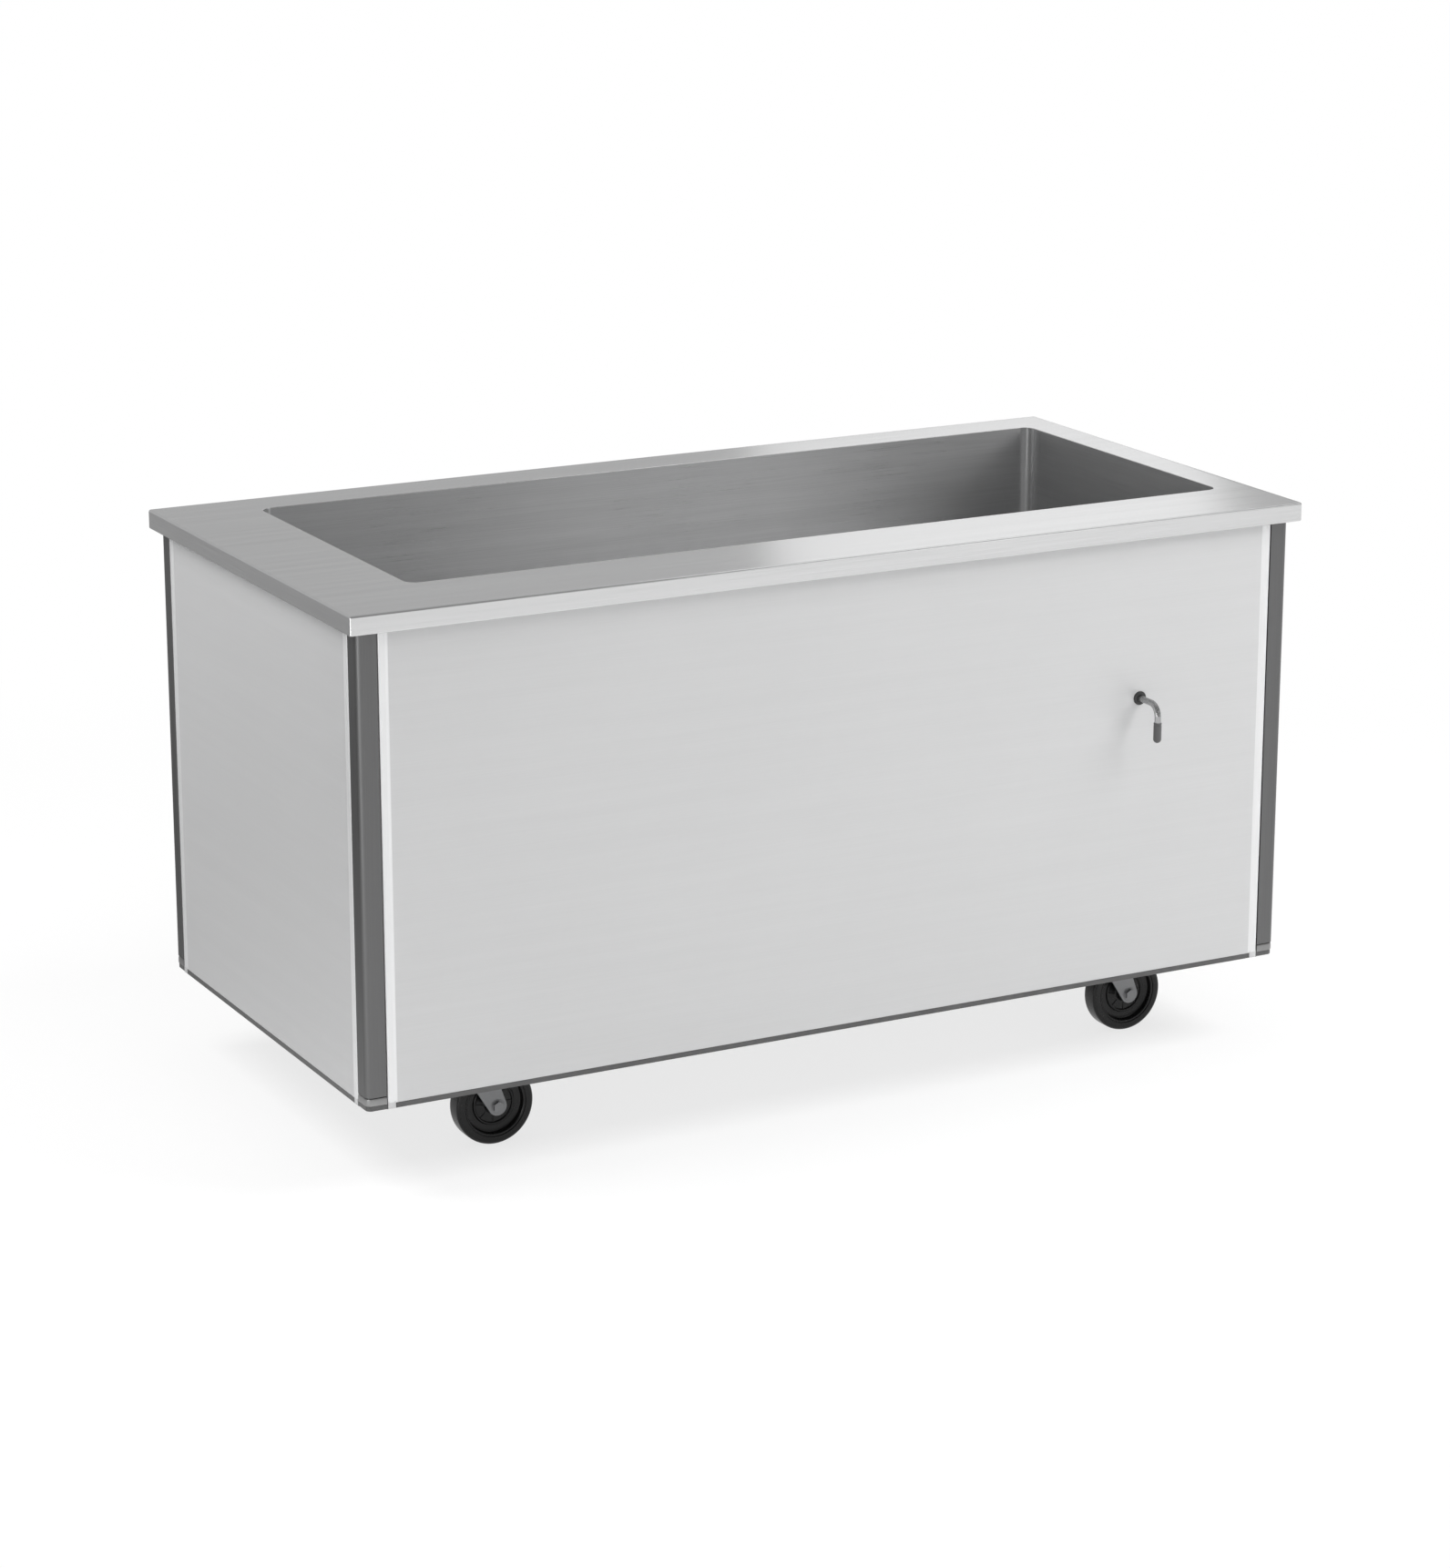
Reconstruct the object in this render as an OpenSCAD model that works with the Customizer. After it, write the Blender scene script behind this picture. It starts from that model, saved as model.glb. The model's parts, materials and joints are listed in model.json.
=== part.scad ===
// Mobile ice-cooled display counter: a stainless top with a deep insulated ice pan, plain panels between
// four round corner posts, a drain valve worked by a bent rod at the front, and four swivel casters.
// Origin: on the floor, below the middle of the bounding box. +X along the counter, +Y to the back, +Z up.

/* [Body] */
// Length of the body over its corner posts
body_length = 1590; // [1400:10:1800]
// Depth of the body, front panel to back panel
body_depth = 768; // [700:4:800]
// Height of the underside of the body above the floor
base_height = 140; // [140:1:150]
// Height of the top of the deck above the floor
deck_height = 887; // [860:1:920]
// Radius of the round corner posts
post_radius = 32; // [24:1:40]

/* [Deck] */
// How far the deck stands out past the body on every side
deck_overhang = 15; // [14:1:25]
// Height of the turned-down edge of the deck
fascia_height = 30; // [24:1:40]
// Thickness of the deck sheet
deck_sheet = 2; // [1.5:0.1:3]
// Radius on the outer edges of the deck
deck_edge_radius = 4; // [3:0.5:6]

/* [Ice pan] */
// Width of the deck on the left, from the body's left face to the pan
pan_left_rim = 140; // [120:5:300]
// Width of the rim on the right, from the pan to the body's right face
pan_right_rim = 45; // [45:1:80]
// Width of the rim at the front, from the body's front face to the pan
pan_front_rim = 132; // [100:2:160]
// Width of the rim at the back, from the pan to the body's back face
pan_back_rim = 63; // [60:1:90]
// Depth of the pan below the deck
pan_depth = 203; // [152:1:230]
// Radius of the coved corners and bottom edges of the pan
pan_cove = 19; // [16:1:25]
// Thickness of the pan liner
liner_sheet = 1.5; // [1.2:0.1:2]
// Thickness of the foam round the pan
insulation_thickness = 25; // [15:1:25]
// Diameter of the perforations
perforation_diameter = 13; // [8:1:16]
// Distance between perforations
perforation_pitch = 60; // [50:5:80]

/* [Drain] */
// Distance of the drain and its handle from the body's left face
drain_from_left = 1320; // [1100:10:1400]
// Height of the valve and its handle above the underside of the body
valve_rise = 461; // [430:1:470]
// How far the handle stands out from the front face of the body
handle_reach = 58; // [50:1:70]
// How far the handle hangs below its shaft
handle_drop = 60; // [50:1:90]
// Diameter of the handle rod
handle_rod_diameter = 10; // [8:0.5:12]
// Outside diameter of the outlet pipe
outlet_diameter = 33.4; // [26.7:0.1:33.4]
// Height of the open end of the outlet pipe above the floor
outlet_height = 110; // [90:5:130]

/* [Casters] */
// Diameter of the wheels
wheel_diameter = 127; // [100:1:127]
// Width of the tread
wheel_width = 32; // [28:1:34]
// Height of the caster from the floor to the top of its plate
caster_height = 158; // [158:1:162]
// Distance from the swivel axis to the wheel's axle
caster_trail = 38; // [30:1:40]
// Distance of the swivel axes from the ends of the body
caster_from_end = 229; // [150:1:300]
// Distance of the swivel axes from the front and back faces of the body
caster_from_face = 150; // [130:1:200]

/* [Hidden] */
$fn = 64;

// Gap that lets a part move past its neighbour, and the radial clearance of a shaft in its bore
gap = 0.3;
running = 0.08;
// Extra length of a cutting shape past the face it cuts
past = 1;

// Faces of the body
left_x = -body_length / 2;
right_x = body_length / 2;
front_y = (handle_reach - body_depth - deck_overhang) / 2;
back_y = front_y + body_depth;

// Pan opening and floor
pan_x0 = left_x + pan_left_rim;
pan_x1 = right_x - pan_right_rim;
pan_y0 = front_y + pan_front_rim;
pan_y1 = back_y - pan_back_rim;
pan_floor = deck_height - pan_depth;
false_bottoms = 3;
liner_bottom = pan_floor - liner_sheet;
jacket_sheet = 1;
foam_top = deck_height - 7;
foam_bottom = liner_bottom - insulation_thickness;

// Panels: formed sheets with returns all round and a folded hem down each upright edge
panel_sheet = 1.2;
panel_return = 12;
panel_hem = 14;
hem_step = 0.8;
post_seam = 1.5;
panel_bottom = base_height + 8;
panel_top = deck_height - deck_sheet - 1;

// Base and top rails
rail_ledge = panel_bottom - base_height;
rail_height = 38;
rail_leg = 3;
rail_in = panel_return + 1.5;
top_leg = 25;
foot_height = 20;

// Drain line
drain_x = left_x + drain_from_left;
drain_y = (pan_y0 + pan_y1) / 2;
valve_z = base_height + valve_rise;
sump_radius = 45;
sump_depth = 8.5;
bore_radius = 12.5;
pipe_radius = outlet_diameter / 2;
valve_half = 35;
ball_radius = 17.5;
stem_radius = 6;
grip_radius = 6.4;
handle_y = front_y - handle_reach + grip_radius;
rod_radius = handle_rod_diameter / 2;
bend_radius = 20;

// Casters
wheel_radius = wheel_diameter / 2;
caster_x = right_x - caster_from_end;
caster_front_y = front_y + caster_from_face;
caster_back_y = back_y - caster_from_face;
plate_thick = 4;
plate_size = [95, 75];
bolt_spacing = [75, 55];
bolt_radius = 4;
race_radius = 30;
race_bottom = caster_height - plate_thick - 8;
fork_top = race_bottom - gap;
crown_bottom = fork_top - 8;
kingpin_radius = 6;
fork_gap = 39;
fork_plate = 4;
axle_radius = 5;
hub_width = fork_gap - 2 * gap;
channel_width = 95;
channel_sheet = 3;
brake_pivot = [86.5, 118.5];
brake_travel = 18;
brake_slope = 14;

steel = [0.78, 0.79, 0.80];
liner_steel = [0.70, 0.71, 0.72];
dark_metal = [0.28, 0.29, 0.30];
zinc = [0.62, 0.63, 0.65];
brass = [0.75, 0.60, 0.32];
white_plastic = [0.92, 0.92, 0.90];
foam = [0.88, 0.82, 0.62];
black = [0.08, 0.08, 0.09];

// Box from its lowest to its highest corner
module block(lo, hi) {
    translate(lo) cube(hi - lo);
}

// Rectangle with round corners
module round_rect(lo, hi, r) {
    translate([lo[0] + r, lo[1]]) square([hi[0] - lo[0] - 2 * r, hi[1] - lo[1]]);
    translate([lo[0], lo[1] + r]) square([hi[0] - lo[0], hi[1] - lo[1] - 2 * r]);
    for (x = [lo[0] + r, hi[0] - r], y = [lo[1] + r, hi[1] - r])
        translate([x, y]) circle(r);
}

// Box whose four upright edges are round
module round_block(lo, hi, r) {
    translate([0, 0, lo[2]])
        linear_extrude(hi[2] - lo[2]) round_rect(lo, hi, r);
}

// Box whose upright edges and bottom edges are all round, as a coved pan is
module coved_block(lo, hi, r) {
    round_block([lo[0], lo[1], lo[2] + r], hi, r);
    block([lo[0] + r, lo[1] + r, lo[2]], [hi[0] - r, hi[1] - r, lo[2] + r]);
    for (y = [lo[1] + r, hi[1] - r])
        translate([lo[0] + r, y, lo[2] + r])
            rotate([0, 90, 0]) cylinder(r = r, h = hi[0] - lo[0] - 2 * r);
    for (x = [lo[0] + r, hi[0] - r])
        translate([x, hi[1] - r, lo[2] + r])
            rotate([90, 0, 0]) cylinder(r = r, h = hi[1] - lo[1] - 2 * r);
    for (x = [lo[0] + r, hi[0] - r], y = [lo[1] + r, hi[1] - r])
        translate([x, y, lo[2] + r]) sphere(r);
}

// The same box upside down, for the deck's rounded top edge
module crowned_block(lo, hi, r) {
    translate([0, 0, lo[2] + hi[2]])
        mirror([0, 0, 1]) coved_block(lo, hi, r);
}

// Cylinder along +Y from one point
module rod_y(from, r, length) {
    translate(from) rotate([-90, 0, 0]) cylinder(r = r, h = length);
}

// Pan shapes: the space in the liner, and the liner's outside grown by an amount
module pan_space() {
    coved_block([pan_x0, pan_y0, pan_floor], [pan_x1, pan_y1, deck_height + past], pan_cove);
}

module liner_outside() {
    t = liner_sheet;
    coved_block([pan_x0 - t, pan_y0 - t, pan_floor - t], [pan_x1 + t, pan_y1 + t, deck_height], pan_cove + t);
    translate([drain_x, drain_y, pan_floor - sump_depth - t])
        cylinder(r = sump_radius + t, h = sump_depth + t);
}

module round_pan(grow, bottom, top) {
    round_block(
        [pan_x0 - grow, pan_y0 - grow, bottom],
        [pan_x1 + grow, pan_y1 + grow, top],
        pan_cove + grow
    );
}

module top_deck() {
    lo = [left_x - deck_overhang, front_y - deck_overhang, deck_height - fascia_height];
    hi = [right_x + deck_overhang, back_y + deck_overhang, deck_height];
    t = deck_sheet;
    lip = deck_overhang - 3;
    color(steel) difference() {
        crowned_block(lo, hi, deck_edge_radius);
        round_block(lo + [t, t, t], hi - [t, t, t], deck_edge_radius - t);
        round_block(lo + [lip, lip, -past], hi - [lip, lip, t], deck_edge_radius - t);
        round_pan(liner_sheet, deck_height - 2 * t, deck_height + past);
    }
}

module pan_liner() {
    color(liner_steel) difference() {
        liner_outside();
        pan_space();
        translate([drain_x, drain_y, pan_floor - sump_depth])
            cylinder(r = sump_radius, h = sump_depth + past);
        translate([drain_x, drain_y, pan_floor - 2 * sump_depth])
            cylinder(r = pipe_radius + gap, h = 2 * sump_depth);
    }
}

module pan_insulation() {
    color(foam) difference() {
        round_pan(liner_sheet + insulation_thickness, foam_bottom, foam_top);
        liner_outside();
        translate([drain_x, drain_y, foam_bottom - past])
            cylinder(r = sump_radius - 10, h = insulation_thickness);
    }
}

module pan_jacket() {
    inner = liner_sheet + insulation_thickness;
    color(zinc) difference() {
        round_pan(inner + jacket_sheet, foam_bottom - jacket_sheet, foam_top);
        round_pan(inner, foam_bottom, foam_top + past);
        translate([drain_x, drain_y, foam_bottom - 2 * jacket_sheet])
            cylinder(r = 25, h = 3 * jacket_sheet);
    }
}

// Two straps that hang the jacketed pan from the front and back top rails
module pan_saddles() {
    strap = [40, 2];
    grow = liner_sheet + insulation_thickness + jacket_sheet;
    y0 = pan_y0 - grow;
    y1 = pan_y1 + grow;
    bottom = foam_bottom - jacket_sheet;
    under_rail = deck_height - deck_sheet - rail_leg;
    behind_rail = rail_in + rail_leg;
    color(zinc) for (x = [pan_x0 + 250, pan_x1 - 450]) difference() {
        union() {
            block([x, y0 - strap[1], bottom - strap[1]], [x + strap[0], y1 + strap[1], under_rail]);
            block(
                [x, front_y + behind_rail, under_rail - strap[1]],
                [x + strap[0], back_y - behind_rail, under_rail]
            );
        }
        block([x - past, y0, bottom], [x + strap[0] + past, y1, deck_height]);
    }
}

// Channel that stiffens the wide deck left of the pan
module deck_brace() {
    under_deck = deck_height - deck_sheet;
    x0 = left_x + pan_left_rim / 2 - 20;
    y0 = front_y + rail_in + top_leg;
    y1 = back_y - rail_in - top_leg;
    color(zinc) difference() {
        block([x0, y0, under_deck - 20], [x0 + 40, y1, under_deck]);
        block([x0 + 2, y0 - past, under_deck - 18], [x0 + 38, y1 + past, under_deck + past]);
    }
}

// One perforated section that stands on turned-down legs above the pan's floor
module false_bottom(index) {
    clear = 4;
    between = 3;
    sheet = 1.5;
    rise = 26;
    leg_in = pan_cove + 3;
    span = pan_x1 - pan_x0 - 2 * clear;
    length = (span - (false_bottoms - 1) * between) / false_bottoms;
    x0 = pan_x0 + clear + index * (length + between);
    y0 = pan_y0 + clear;
    y1 = pan_y1 - clear;
    columns = floor((length - perforation_pitch) / perforation_pitch);
    rows = floor((y1 - y0 - perforation_pitch) / perforation_pitch);
    top = pan_floor + rise;
    mid = [x0 + length / 2, (y0 + y1) / 2];
    color(liner_steel) {
        difference() {
            round_block([x0, y0, top - sheet], [x0 + length, y1, top], pan_cove + 1);
            for (i = [0:columns - 1], j = [0:rows - 1])
                translate([
                    mid[0] + (i - (columns - 1) / 2) * perforation_pitch,
                    mid[1] + (j - (rows - 1) / 2) * perforation_pitch,
                    top - sheet - past
                ]) cylinder(d = perforation_diameter, h = sheet + 2 * past, $fn = 24);
        }
        for (y = [pan_y0 + leg_in, pan_y1 - leg_in - sheet])
            block([x0 + leg_in, y, pan_floor + gap], [x0 + length - leg_in, y + sheet, top - sheet]);
    }
}

module false_bottom_left() { false_bottom(0); }
module false_bottom_middle() { false_bottom(1); }
module false_bottom_right() { false_bottom(2); }

module drain_flange() {
    seat = pan_floor - sump_depth;
    color(zinc) translate([drain_x, drain_y, 0]) difference() {
        union() {
            translate([0, 0, seat]) cylinder(r = 36, h = 3);
            translate([0, 0, valve_z + valve_half])
                cylinder(r = pipe_radius, h = seat - valve_z - valve_half);
        }
        translate([0, 0, valve_z]) cylinder(r = bore_radius, h = pan_depth);
    }
}

module drain_strainer() {
    seat = pan_floor - sump_depth + 3;
    color(zinc) translate([drain_x, drain_y, seat]) difference() {
        union() {
            cylinder(r = 30, h = 1.5);
            cylinder(r = 4.5, h = 3);
        }
        for (ring = [[9, 6], [17, 12]], k = [0:ring[1] - 1])
            rotate(k * 360 / ring[1])
                translate([ring[0], 0, -past]) cylinder(r = 2, h = 4, $fn = 24);
    }
}

module drain_locknut() {
    seat = pan_floor - sump_depth - liner_sheet;
    color(brass) translate([drain_x, drain_y, seat - 8]) difference() {
        cylinder(r = 27, h = 8, $fn = 6);
        translate([0, 0, -past]) cylinder(r = pipe_radius, h = 10);
    }
}

module union_nut() {
    color(brass) translate([drain_x, drain_y, valve_z + valve_half]) difference() {
        cylinder(r = 24, h = 16, $fn = 8);
        translate([0, 0, -past]) cylinder(r = pipe_radius, h = 18);
    }
}

module valve_body() {
    seat_height = 36;
    color(brass) translate([drain_x, drain_y, valve_z]) difference() {
        union() {
            translate([0, 0, -valve_half + 10]) cylinder(r = 24, h = 2 * valve_half - 20);
            for (z = [-valve_half, valve_half - 11])
                translate([0, 0, z]) cylinder(r = 24, h = 11, $fn = 8);
            rod_y([0, -36, 0], 12, 30);
        }
        translate([0, 0, -valve_half - past]) cylinder(r = bore_radius, h = 2 * valve_half + 2 * past);
        translate([0, 0, -seat_height / 2]) cylinder(r = ball_radius + 1, h = seat_height);
        rod_y([0, -36 - past, 0], stem_radius + running, 40);
    }
}

module valve_seats() {
    color(white_plastic) translate([drain_x, drain_y, valve_z]) for (side = [0, 1])
        mirror([0, 0, side]) difference() {
            translate([0, 0, 11]) cylinder(r = ball_radius + 1, h = 7);
            translate([0, 0, 10]) cylinder(r = bore_radius, h = 9);
            sphere(ball_radius + gap);
        }
}

module valve_ball() {
    color(zinc) translate([drain_x, drain_y, valve_z]) difference() {
        sphere(ball_radius);
        translate([0, 0, -ball_radius - past]) cylinder(r = bore_radius, h = 2 * ball_radius + 2 * past);
        block([-3, -ball_radius - past, -8], [3, -ball_radius + 4, 8]);
    }
}

module valve_stem() {
    color(zinc) translate([drain_x, drain_y, valve_z]) {
        rod_y([0, -62, 0], stem_radius, 62 - ball_radius);
        intersection() {
            block([-3, -ball_radius, -8], [3, -ball_radius + 4, 8]);
            rod_y([0, -ball_radius, 0], stem_radius, 4);
        }
    }
}

module packing_nut() {
    color(brass) translate([drain_x, drain_y - 36, valve_z]) rotate([90, 0, 0]) difference() {
        cylinder(r = 13, h = 8, $fn = 6);
        translate([0, 0, -past]) cylinder(r = stem_radius + running, h = 10);
    }
}

module stem_coupling() {
    color(zinc) translate([drain_x, drain_y, valve_z]) difference() {
        union() {
            rod_y([0, -80, 0], 10, 32);
            for (y = [-72, -56])
                translate([0, y, 8]) cylinder(r = 2.5, h = 4);
        }
        rod_y([0, -80 - past, 0], stem_radius, 34);
    }
}

module handle_shaft() {
    from = front_y + 20;
    color(zinc) difference() {
        rod_y([drain_x, from, valve_z], stem_radius, drain_y - 62 - from);
        rod_y([drain_x, from - past, valve_z], rod_radius, 25);
    }
}

// Rod that comes out through the front panel, bends down and ends in a grip
module drain_handle() {
    inner_end = front_y + 44;
    bend_y = handle_y + bend_radius;
    color(zinc) {
        rod_y([drain_x, bend_y, valve_z], rod_radius, inner_end - bend_y);
        translate([drain_x, bend_y, valve_z - bend_radius])
            rotate([90, 0, -90])
                rotate_extrude(angle = 90) translate([bend_radius, 0]) circle(rod_radius);
        translate([drain_x, handle_y, valve_z - handle_drop + grip_radius])
            cylinder(r = rod_radius, h = handle_drop - grip_radius - bend_radius);
    }
}

module handle_grip() {
    color(dark_metal) translate([drain_x, handle_y, valve_z - handle_drop]) difference() {
        union() {
            translate([0, 0, grip_radius]) sphere(grip_radius);
            translate([0, 0, grip_radius]) cylinder(r = grip_radius, h = 26);
        }
        translate([0, 0, grip_radius]) cylinder(r = rod_radius, h = 30);
    }
}

module panel_bushing() {
    face = front_y + hem_step;
    color(black) difference() {
        union() {
            rod_y([drain_x, face - 2.5, valve_z], 11, 2.5);
            rod_y([drain_x, face, valve_z], 8, 14);
        }
        rod_y([drain_x, face - 4, valve_z], rod_radius + running, 20);
    }
}

// Pipe from the valve to below the base, with a relief above the plain end that a hose or union takes
module outlet_pipe() {
    end_length = 25;
    relief = 3;
    color(zinc) translate([drain_x, drain_y, outlet_height]) difference() {
        cylinder(r = pipe_radius, h = valve_z - valve_half - outlet_height);
        translate([0, 0, -past]) cylinder(r = bore_radius + 1, h = valve_z);
        translate([0, 0, end_length]) difference() {
            cylinder(r = pipe_radius + past, h = relief);
            cylinder(r = pipe_radius - 1.2, h = relief);
        }
    }
}

// Panel that faces -Y, with its lower left front corner at the origin
module skin_panel(width, height) {
    difference() {
        union() {
            block([0, hem_step, 0], [width, panel_return, height]);
            for (x = [0, width - panel_hem])
                translate([x, 0, 0]) cube([panel_hem, panel_return, height]);
        }
        block(
            [panel_sheet, hem_step + panel_sheet, panel_sheet],
            [width - panel_sheet, panel_return + past, height - panel_sheet]
        );
    }
}

module long_panel() {
    skin_panel(body_length - 2 * (post_radius + post_seam), panel_top - panel_bottom);
}

module short_panel() {
    skin_panel(body_depth - 2 * (post_radius + post_seam), panel_top - panel_bottom);
}

module front_panel() {
    color(steel) difference() {
        translate([left_x + post_radius + post_seam, front_y, panel_bottom]) long_panel();
        rod_y([drain_x, front_y - past, valve_z], 8, 10);
    }
}

module back_panel() {
    color(steel) translate([right_x - post_radius - post_seam, back_y, panel_bottom])
        rotate(180) long_panel();
}

module left_panel() {
    color(steel) translate([left_x, back_y - post_radius - post_seam, panel_bottom])
        rotate(-90) short_panel();
}

module right_panel() {
    color(steel) translate([right_x, front_y + post_radius + post_seam, panel_bottom])
        rotate(90) short_panel();
}

// Quarter round in the first quadrant, round side towards the origin
module quarter_round(r) {
    intersection() {
        translate([post_radius, post_radius]) circle(r, $fn = 128);
        square(post_radius);
    }
}

// Puts its children, made for the front left corner of the body, at any corner
module at_corner(right, back) {
    translate([right ? right_x : left_x, back ? back_y : front_y, 0])
        mirror([right ? 1 : 0, 0, 0])
            mirror([0, back ? 1 : 0, 0]) children();
}

module corner_post() {
    wall = 2.5;
    low = base_height + foot_height;
    color(dark_metal) translate([0, 0, low]) linear_extrude(deck_height - deck_sheet - low) difference() {
        quarter_round(post_radius);
        intersection() {
            quarter_round(post_radius - wall);
            square(post_radius - wall);
        }
    }
}

module corner_post_front_left() { at_corner(false, false) corner_post(); }
module corner_post_front_right() { at_corner(true, false) corner_post(); }
module corner_post_back_left() { at_corner(false, true) corner_post(); }
module corner_post_back_right() { at_corner(true, true) corner_post(); }

// Cast feet that close the posts and join the base rails
module corner_feet() {
    plug_height = 12;
    color(zinc) for (right = [false, true], back = [false, true])
        at_corner(right, back) translate([0, 0, base_height]) {
            linear_extrude(foot_height) quarter_round(post_radius);
            linear_extrude(foot_height + plug_height) intersection() {
                quarter_round(post_radius - 3);
                square(post_radius - 3);
            }
        }
}

// Section of a base rail: a ledge under the panel, an upright behind it and a flange to the inside
module base_section() {
    polygon([
        [1, 0],
        [post_radius, 0],
        [post_radius, rail_leg],
        [rail_in + rail_leg, rail_leg],
        [rail_in + rail_leg, rail_height],
        [rail_in, rail_height],
        [rail_in, rail_ledge],
        [1, rail_ledge]
    ]);
}

// A rail along +X whose outer face looks to -Y
module rail_along(length) {
    translate([length, 0, 0]) rotate([90, 0, -90]) mirror([1, 0, 0]) linear_extrude(length) children();
}

module base_rail_front() {
    color(dark_metal) translate([left_x + post_radius, front_y, base_height])
        rail_along(body_length - 2 * post_radius) base_section();
}

module base_rail_back() {
    color(dark_metal) translate([right_x - post_radius, back_y, base_height])
        rotate(180) rail_along(body_length - 2 * post_radius) base_section();
}

module base_rail_left() {
    color(dark_metal) translate([left_x, back_y - post_radius, base_height])
        rotate(-90) rail_along(body_depth - 2 * post_radius) base_section();
}

module base_rail_right() {
    color(dark_metal) translate([right_x, front_y + post_radius, base_height])
        rotate(90) rail_along(body_depth - 2 * post_radius) base_section();
}

// Angle section with its corner at the top, outside
module top_section() {
    difference() {
        translate([rail_in, -top_leg]) square(top_leg);
        translate([rail_in + rail_leg, -top_leg - past]) square([top_leg, top_leg - rail_leg + past]);
    }
}

// Angles under the edge of the deck, between the corner posts
module top_rails() {
    z = deck_height - deck_sheet;
    side_in = rail_in + top_leg + 0.5;
    color(zinc) {
        translate([left_x + post_radius, front_y, z])
            rail_along(body_length - 2 * post_radius) top_section();
        translate([right_x - post_radius, back_y, z])
            rotate(180) rail_along(body_length - 2 * post_radius) top_section();
        translate([left_x, back_y - side_in, z])
            rotate(-90) rail_along(body_depth - 2 * side_in) top_section();
        translate([right_x, front_y + side_in, z])
            rotate(90) rail_along(body_depth - 2 * side_in) top_section();
    }
}

// Sheet that closes the cabinet, on top of the base rails
module base_floor() {
    z = base_height + rail_height;
    corner = post_radius + past;
    color(zinc) difference() {
        block(
            [left_x + rail_in, front_y + rail_in, z],
            [right_x - rail_in, back_y - rail_in, z + panel_sheet]
        );
        for (right = [false, true], back = [false, true])
            at_corner(right, back) block([0, 0, z - past], [corner, corner, z + 3]);
        translate([drain_x, drain_y, z - past]) cylinder(r = pipe_radius + 3, h = 4);
    }
}

// Bolt holes of a caster plate, centred on its swivel axis
module at_caster_bolts() {
    for (x = [-0.5, 0.5], y = [-0.5, 0.5])
        translate([x * bolt_spacing[0], y * bolt_spacing[1], 0]) children();
}

// Channel along the base that two casters are bolted to
module caster_channel(y) {
    half = channel_width / 2;
    x0 = left_x + rail_in + rail_leg;
    x1 = right_x - rail_in - rail_leg;
    low = base_height + rail_leg;
    web = caster_height;
    color(dark_metal) difference() {
        block([x0, y - half, low], [x1, y + half, web + channel_sheet]);
        block([x0 - past, y - half + channel_sheet, low - past], [x1 + past, y + half - channel_sheet, web]);
        for (x = [-caster_x, caster_x])
            translate([x, y, web - past]) at_caster_bolts() cylinder(r = bolt_radius + 0.5, h = 6);
    }
}

module caster_channel_front() { caster_channel(caster_front_y); }
module caster_channel_back() { caster_channel(caster_back_y); }

// Hexagon bolts and nuts that hold the four caster plates
module caster_bolts() {
    head = 4.5;
    low = caster_height - plate_thick;
    web_top = caster_height + channel_sheet;
    color(zinc) for (x = [-caster_x, caster_x], y = [caster_front_y, caster_back_y])
        translate([x, y, 0]) at_caster_bolts() {
            translate([0, 0, low - head]) cylinder(r = 7.2, h = head, $fn = 6);
            translate([0, 0, low]) cylinder(r = bolt_radius, h = web_top - low + 9);
            translate([0, 0, web_top]) cylinder(r = 7.2, h = 6.5, $fn = 6);
        }
}

// The fixed half of a caster: plate, ball race and kingpin, at the swivel axis
module caster_plate() {
    color(zinc) {
        difference() {
            translate([0, 0, caster_height - plate_thick])
                linear_extrude(plate_thick) round_rect(-plate_size / 2, plate_size / 2, 8);
            translate([0, 0, caster_height - plate_thick - past])
                at_caster_bolts() cylinder(r = bolt_radius + 0.5, h = plate_thick + 2 * past);
        }
        translate([0, 0, race_bottom])
            cylinder(r = race_radius, h = caster_height - plate_thick - race_bottom);
        translate([0, 0, crown_bottom - gap - 4]) cylinder(r = kingpin_radius, h = 4 + gap + 8 + gap + past);
        translate([0, 0, crown_bottom - gap - 4]) cylinder(r = 11, h = 4);
    }
}

// One cheek of the fork in the XZ plane, widened past the wheel where a brake is fitted
module fork_cheek(braked) {
    polygon([
        [-24, crown_bottom + 4],
        [28, crown_bottom + 4],
        [caster_trail + 13, wheel_radius + 8],
        [caster_trail + 13, wheel_radius - 8],
        [caster_trail - 9, wheel_radius - 12]
    ]);
    translate([caster_trail, wheel_radius]) circle(15);
    if (braked) {
        polygon([
            [20, crown_bottom + 4],
            [44, crown_bottom - 6],
            brake_pivot + [2, 7],
            brake_pivot - [2, 7],
            [40, 90]
        ]);
        translate(brake_pivot) circle(7);
    }
}

// The turning half of a caster, at the swivel axis with the wheel towards +X
module caster_fork(braked) {
    half = fork_gap / 2 + fork_plate;
    color(zinc) difference() {
        union() {
            translate([0, 0, crown_bottom]) cylinder(r = race_radius + 3, h = fork_top - crown_bottom);
            block([-24, -half, crown_bottom], [28, half, crown_bottom + 4]);
            for (y = [-half, fork_gap / 2])
                translate([0, y + fork_plate, 0])
                    rotate([90, 0, 0]) linear_extrude(fork_plate) fork_cheek(braked);
        }
        translate([0, 0, crown_bottom - past])
            cylinder(r = kingpin_radius + running, h = fork_top - crown_bottom + 2 * past);
        rod_y([caster_trail, -half - past, wheel_radius], axle_radius, 2 * half + 2 * past);
        if (braked)
            rod_y([brake_pivot[0], -half - past, brake_pivot[1]], 3 + running, 2 * half + 2 * past);
    }
}

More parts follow.
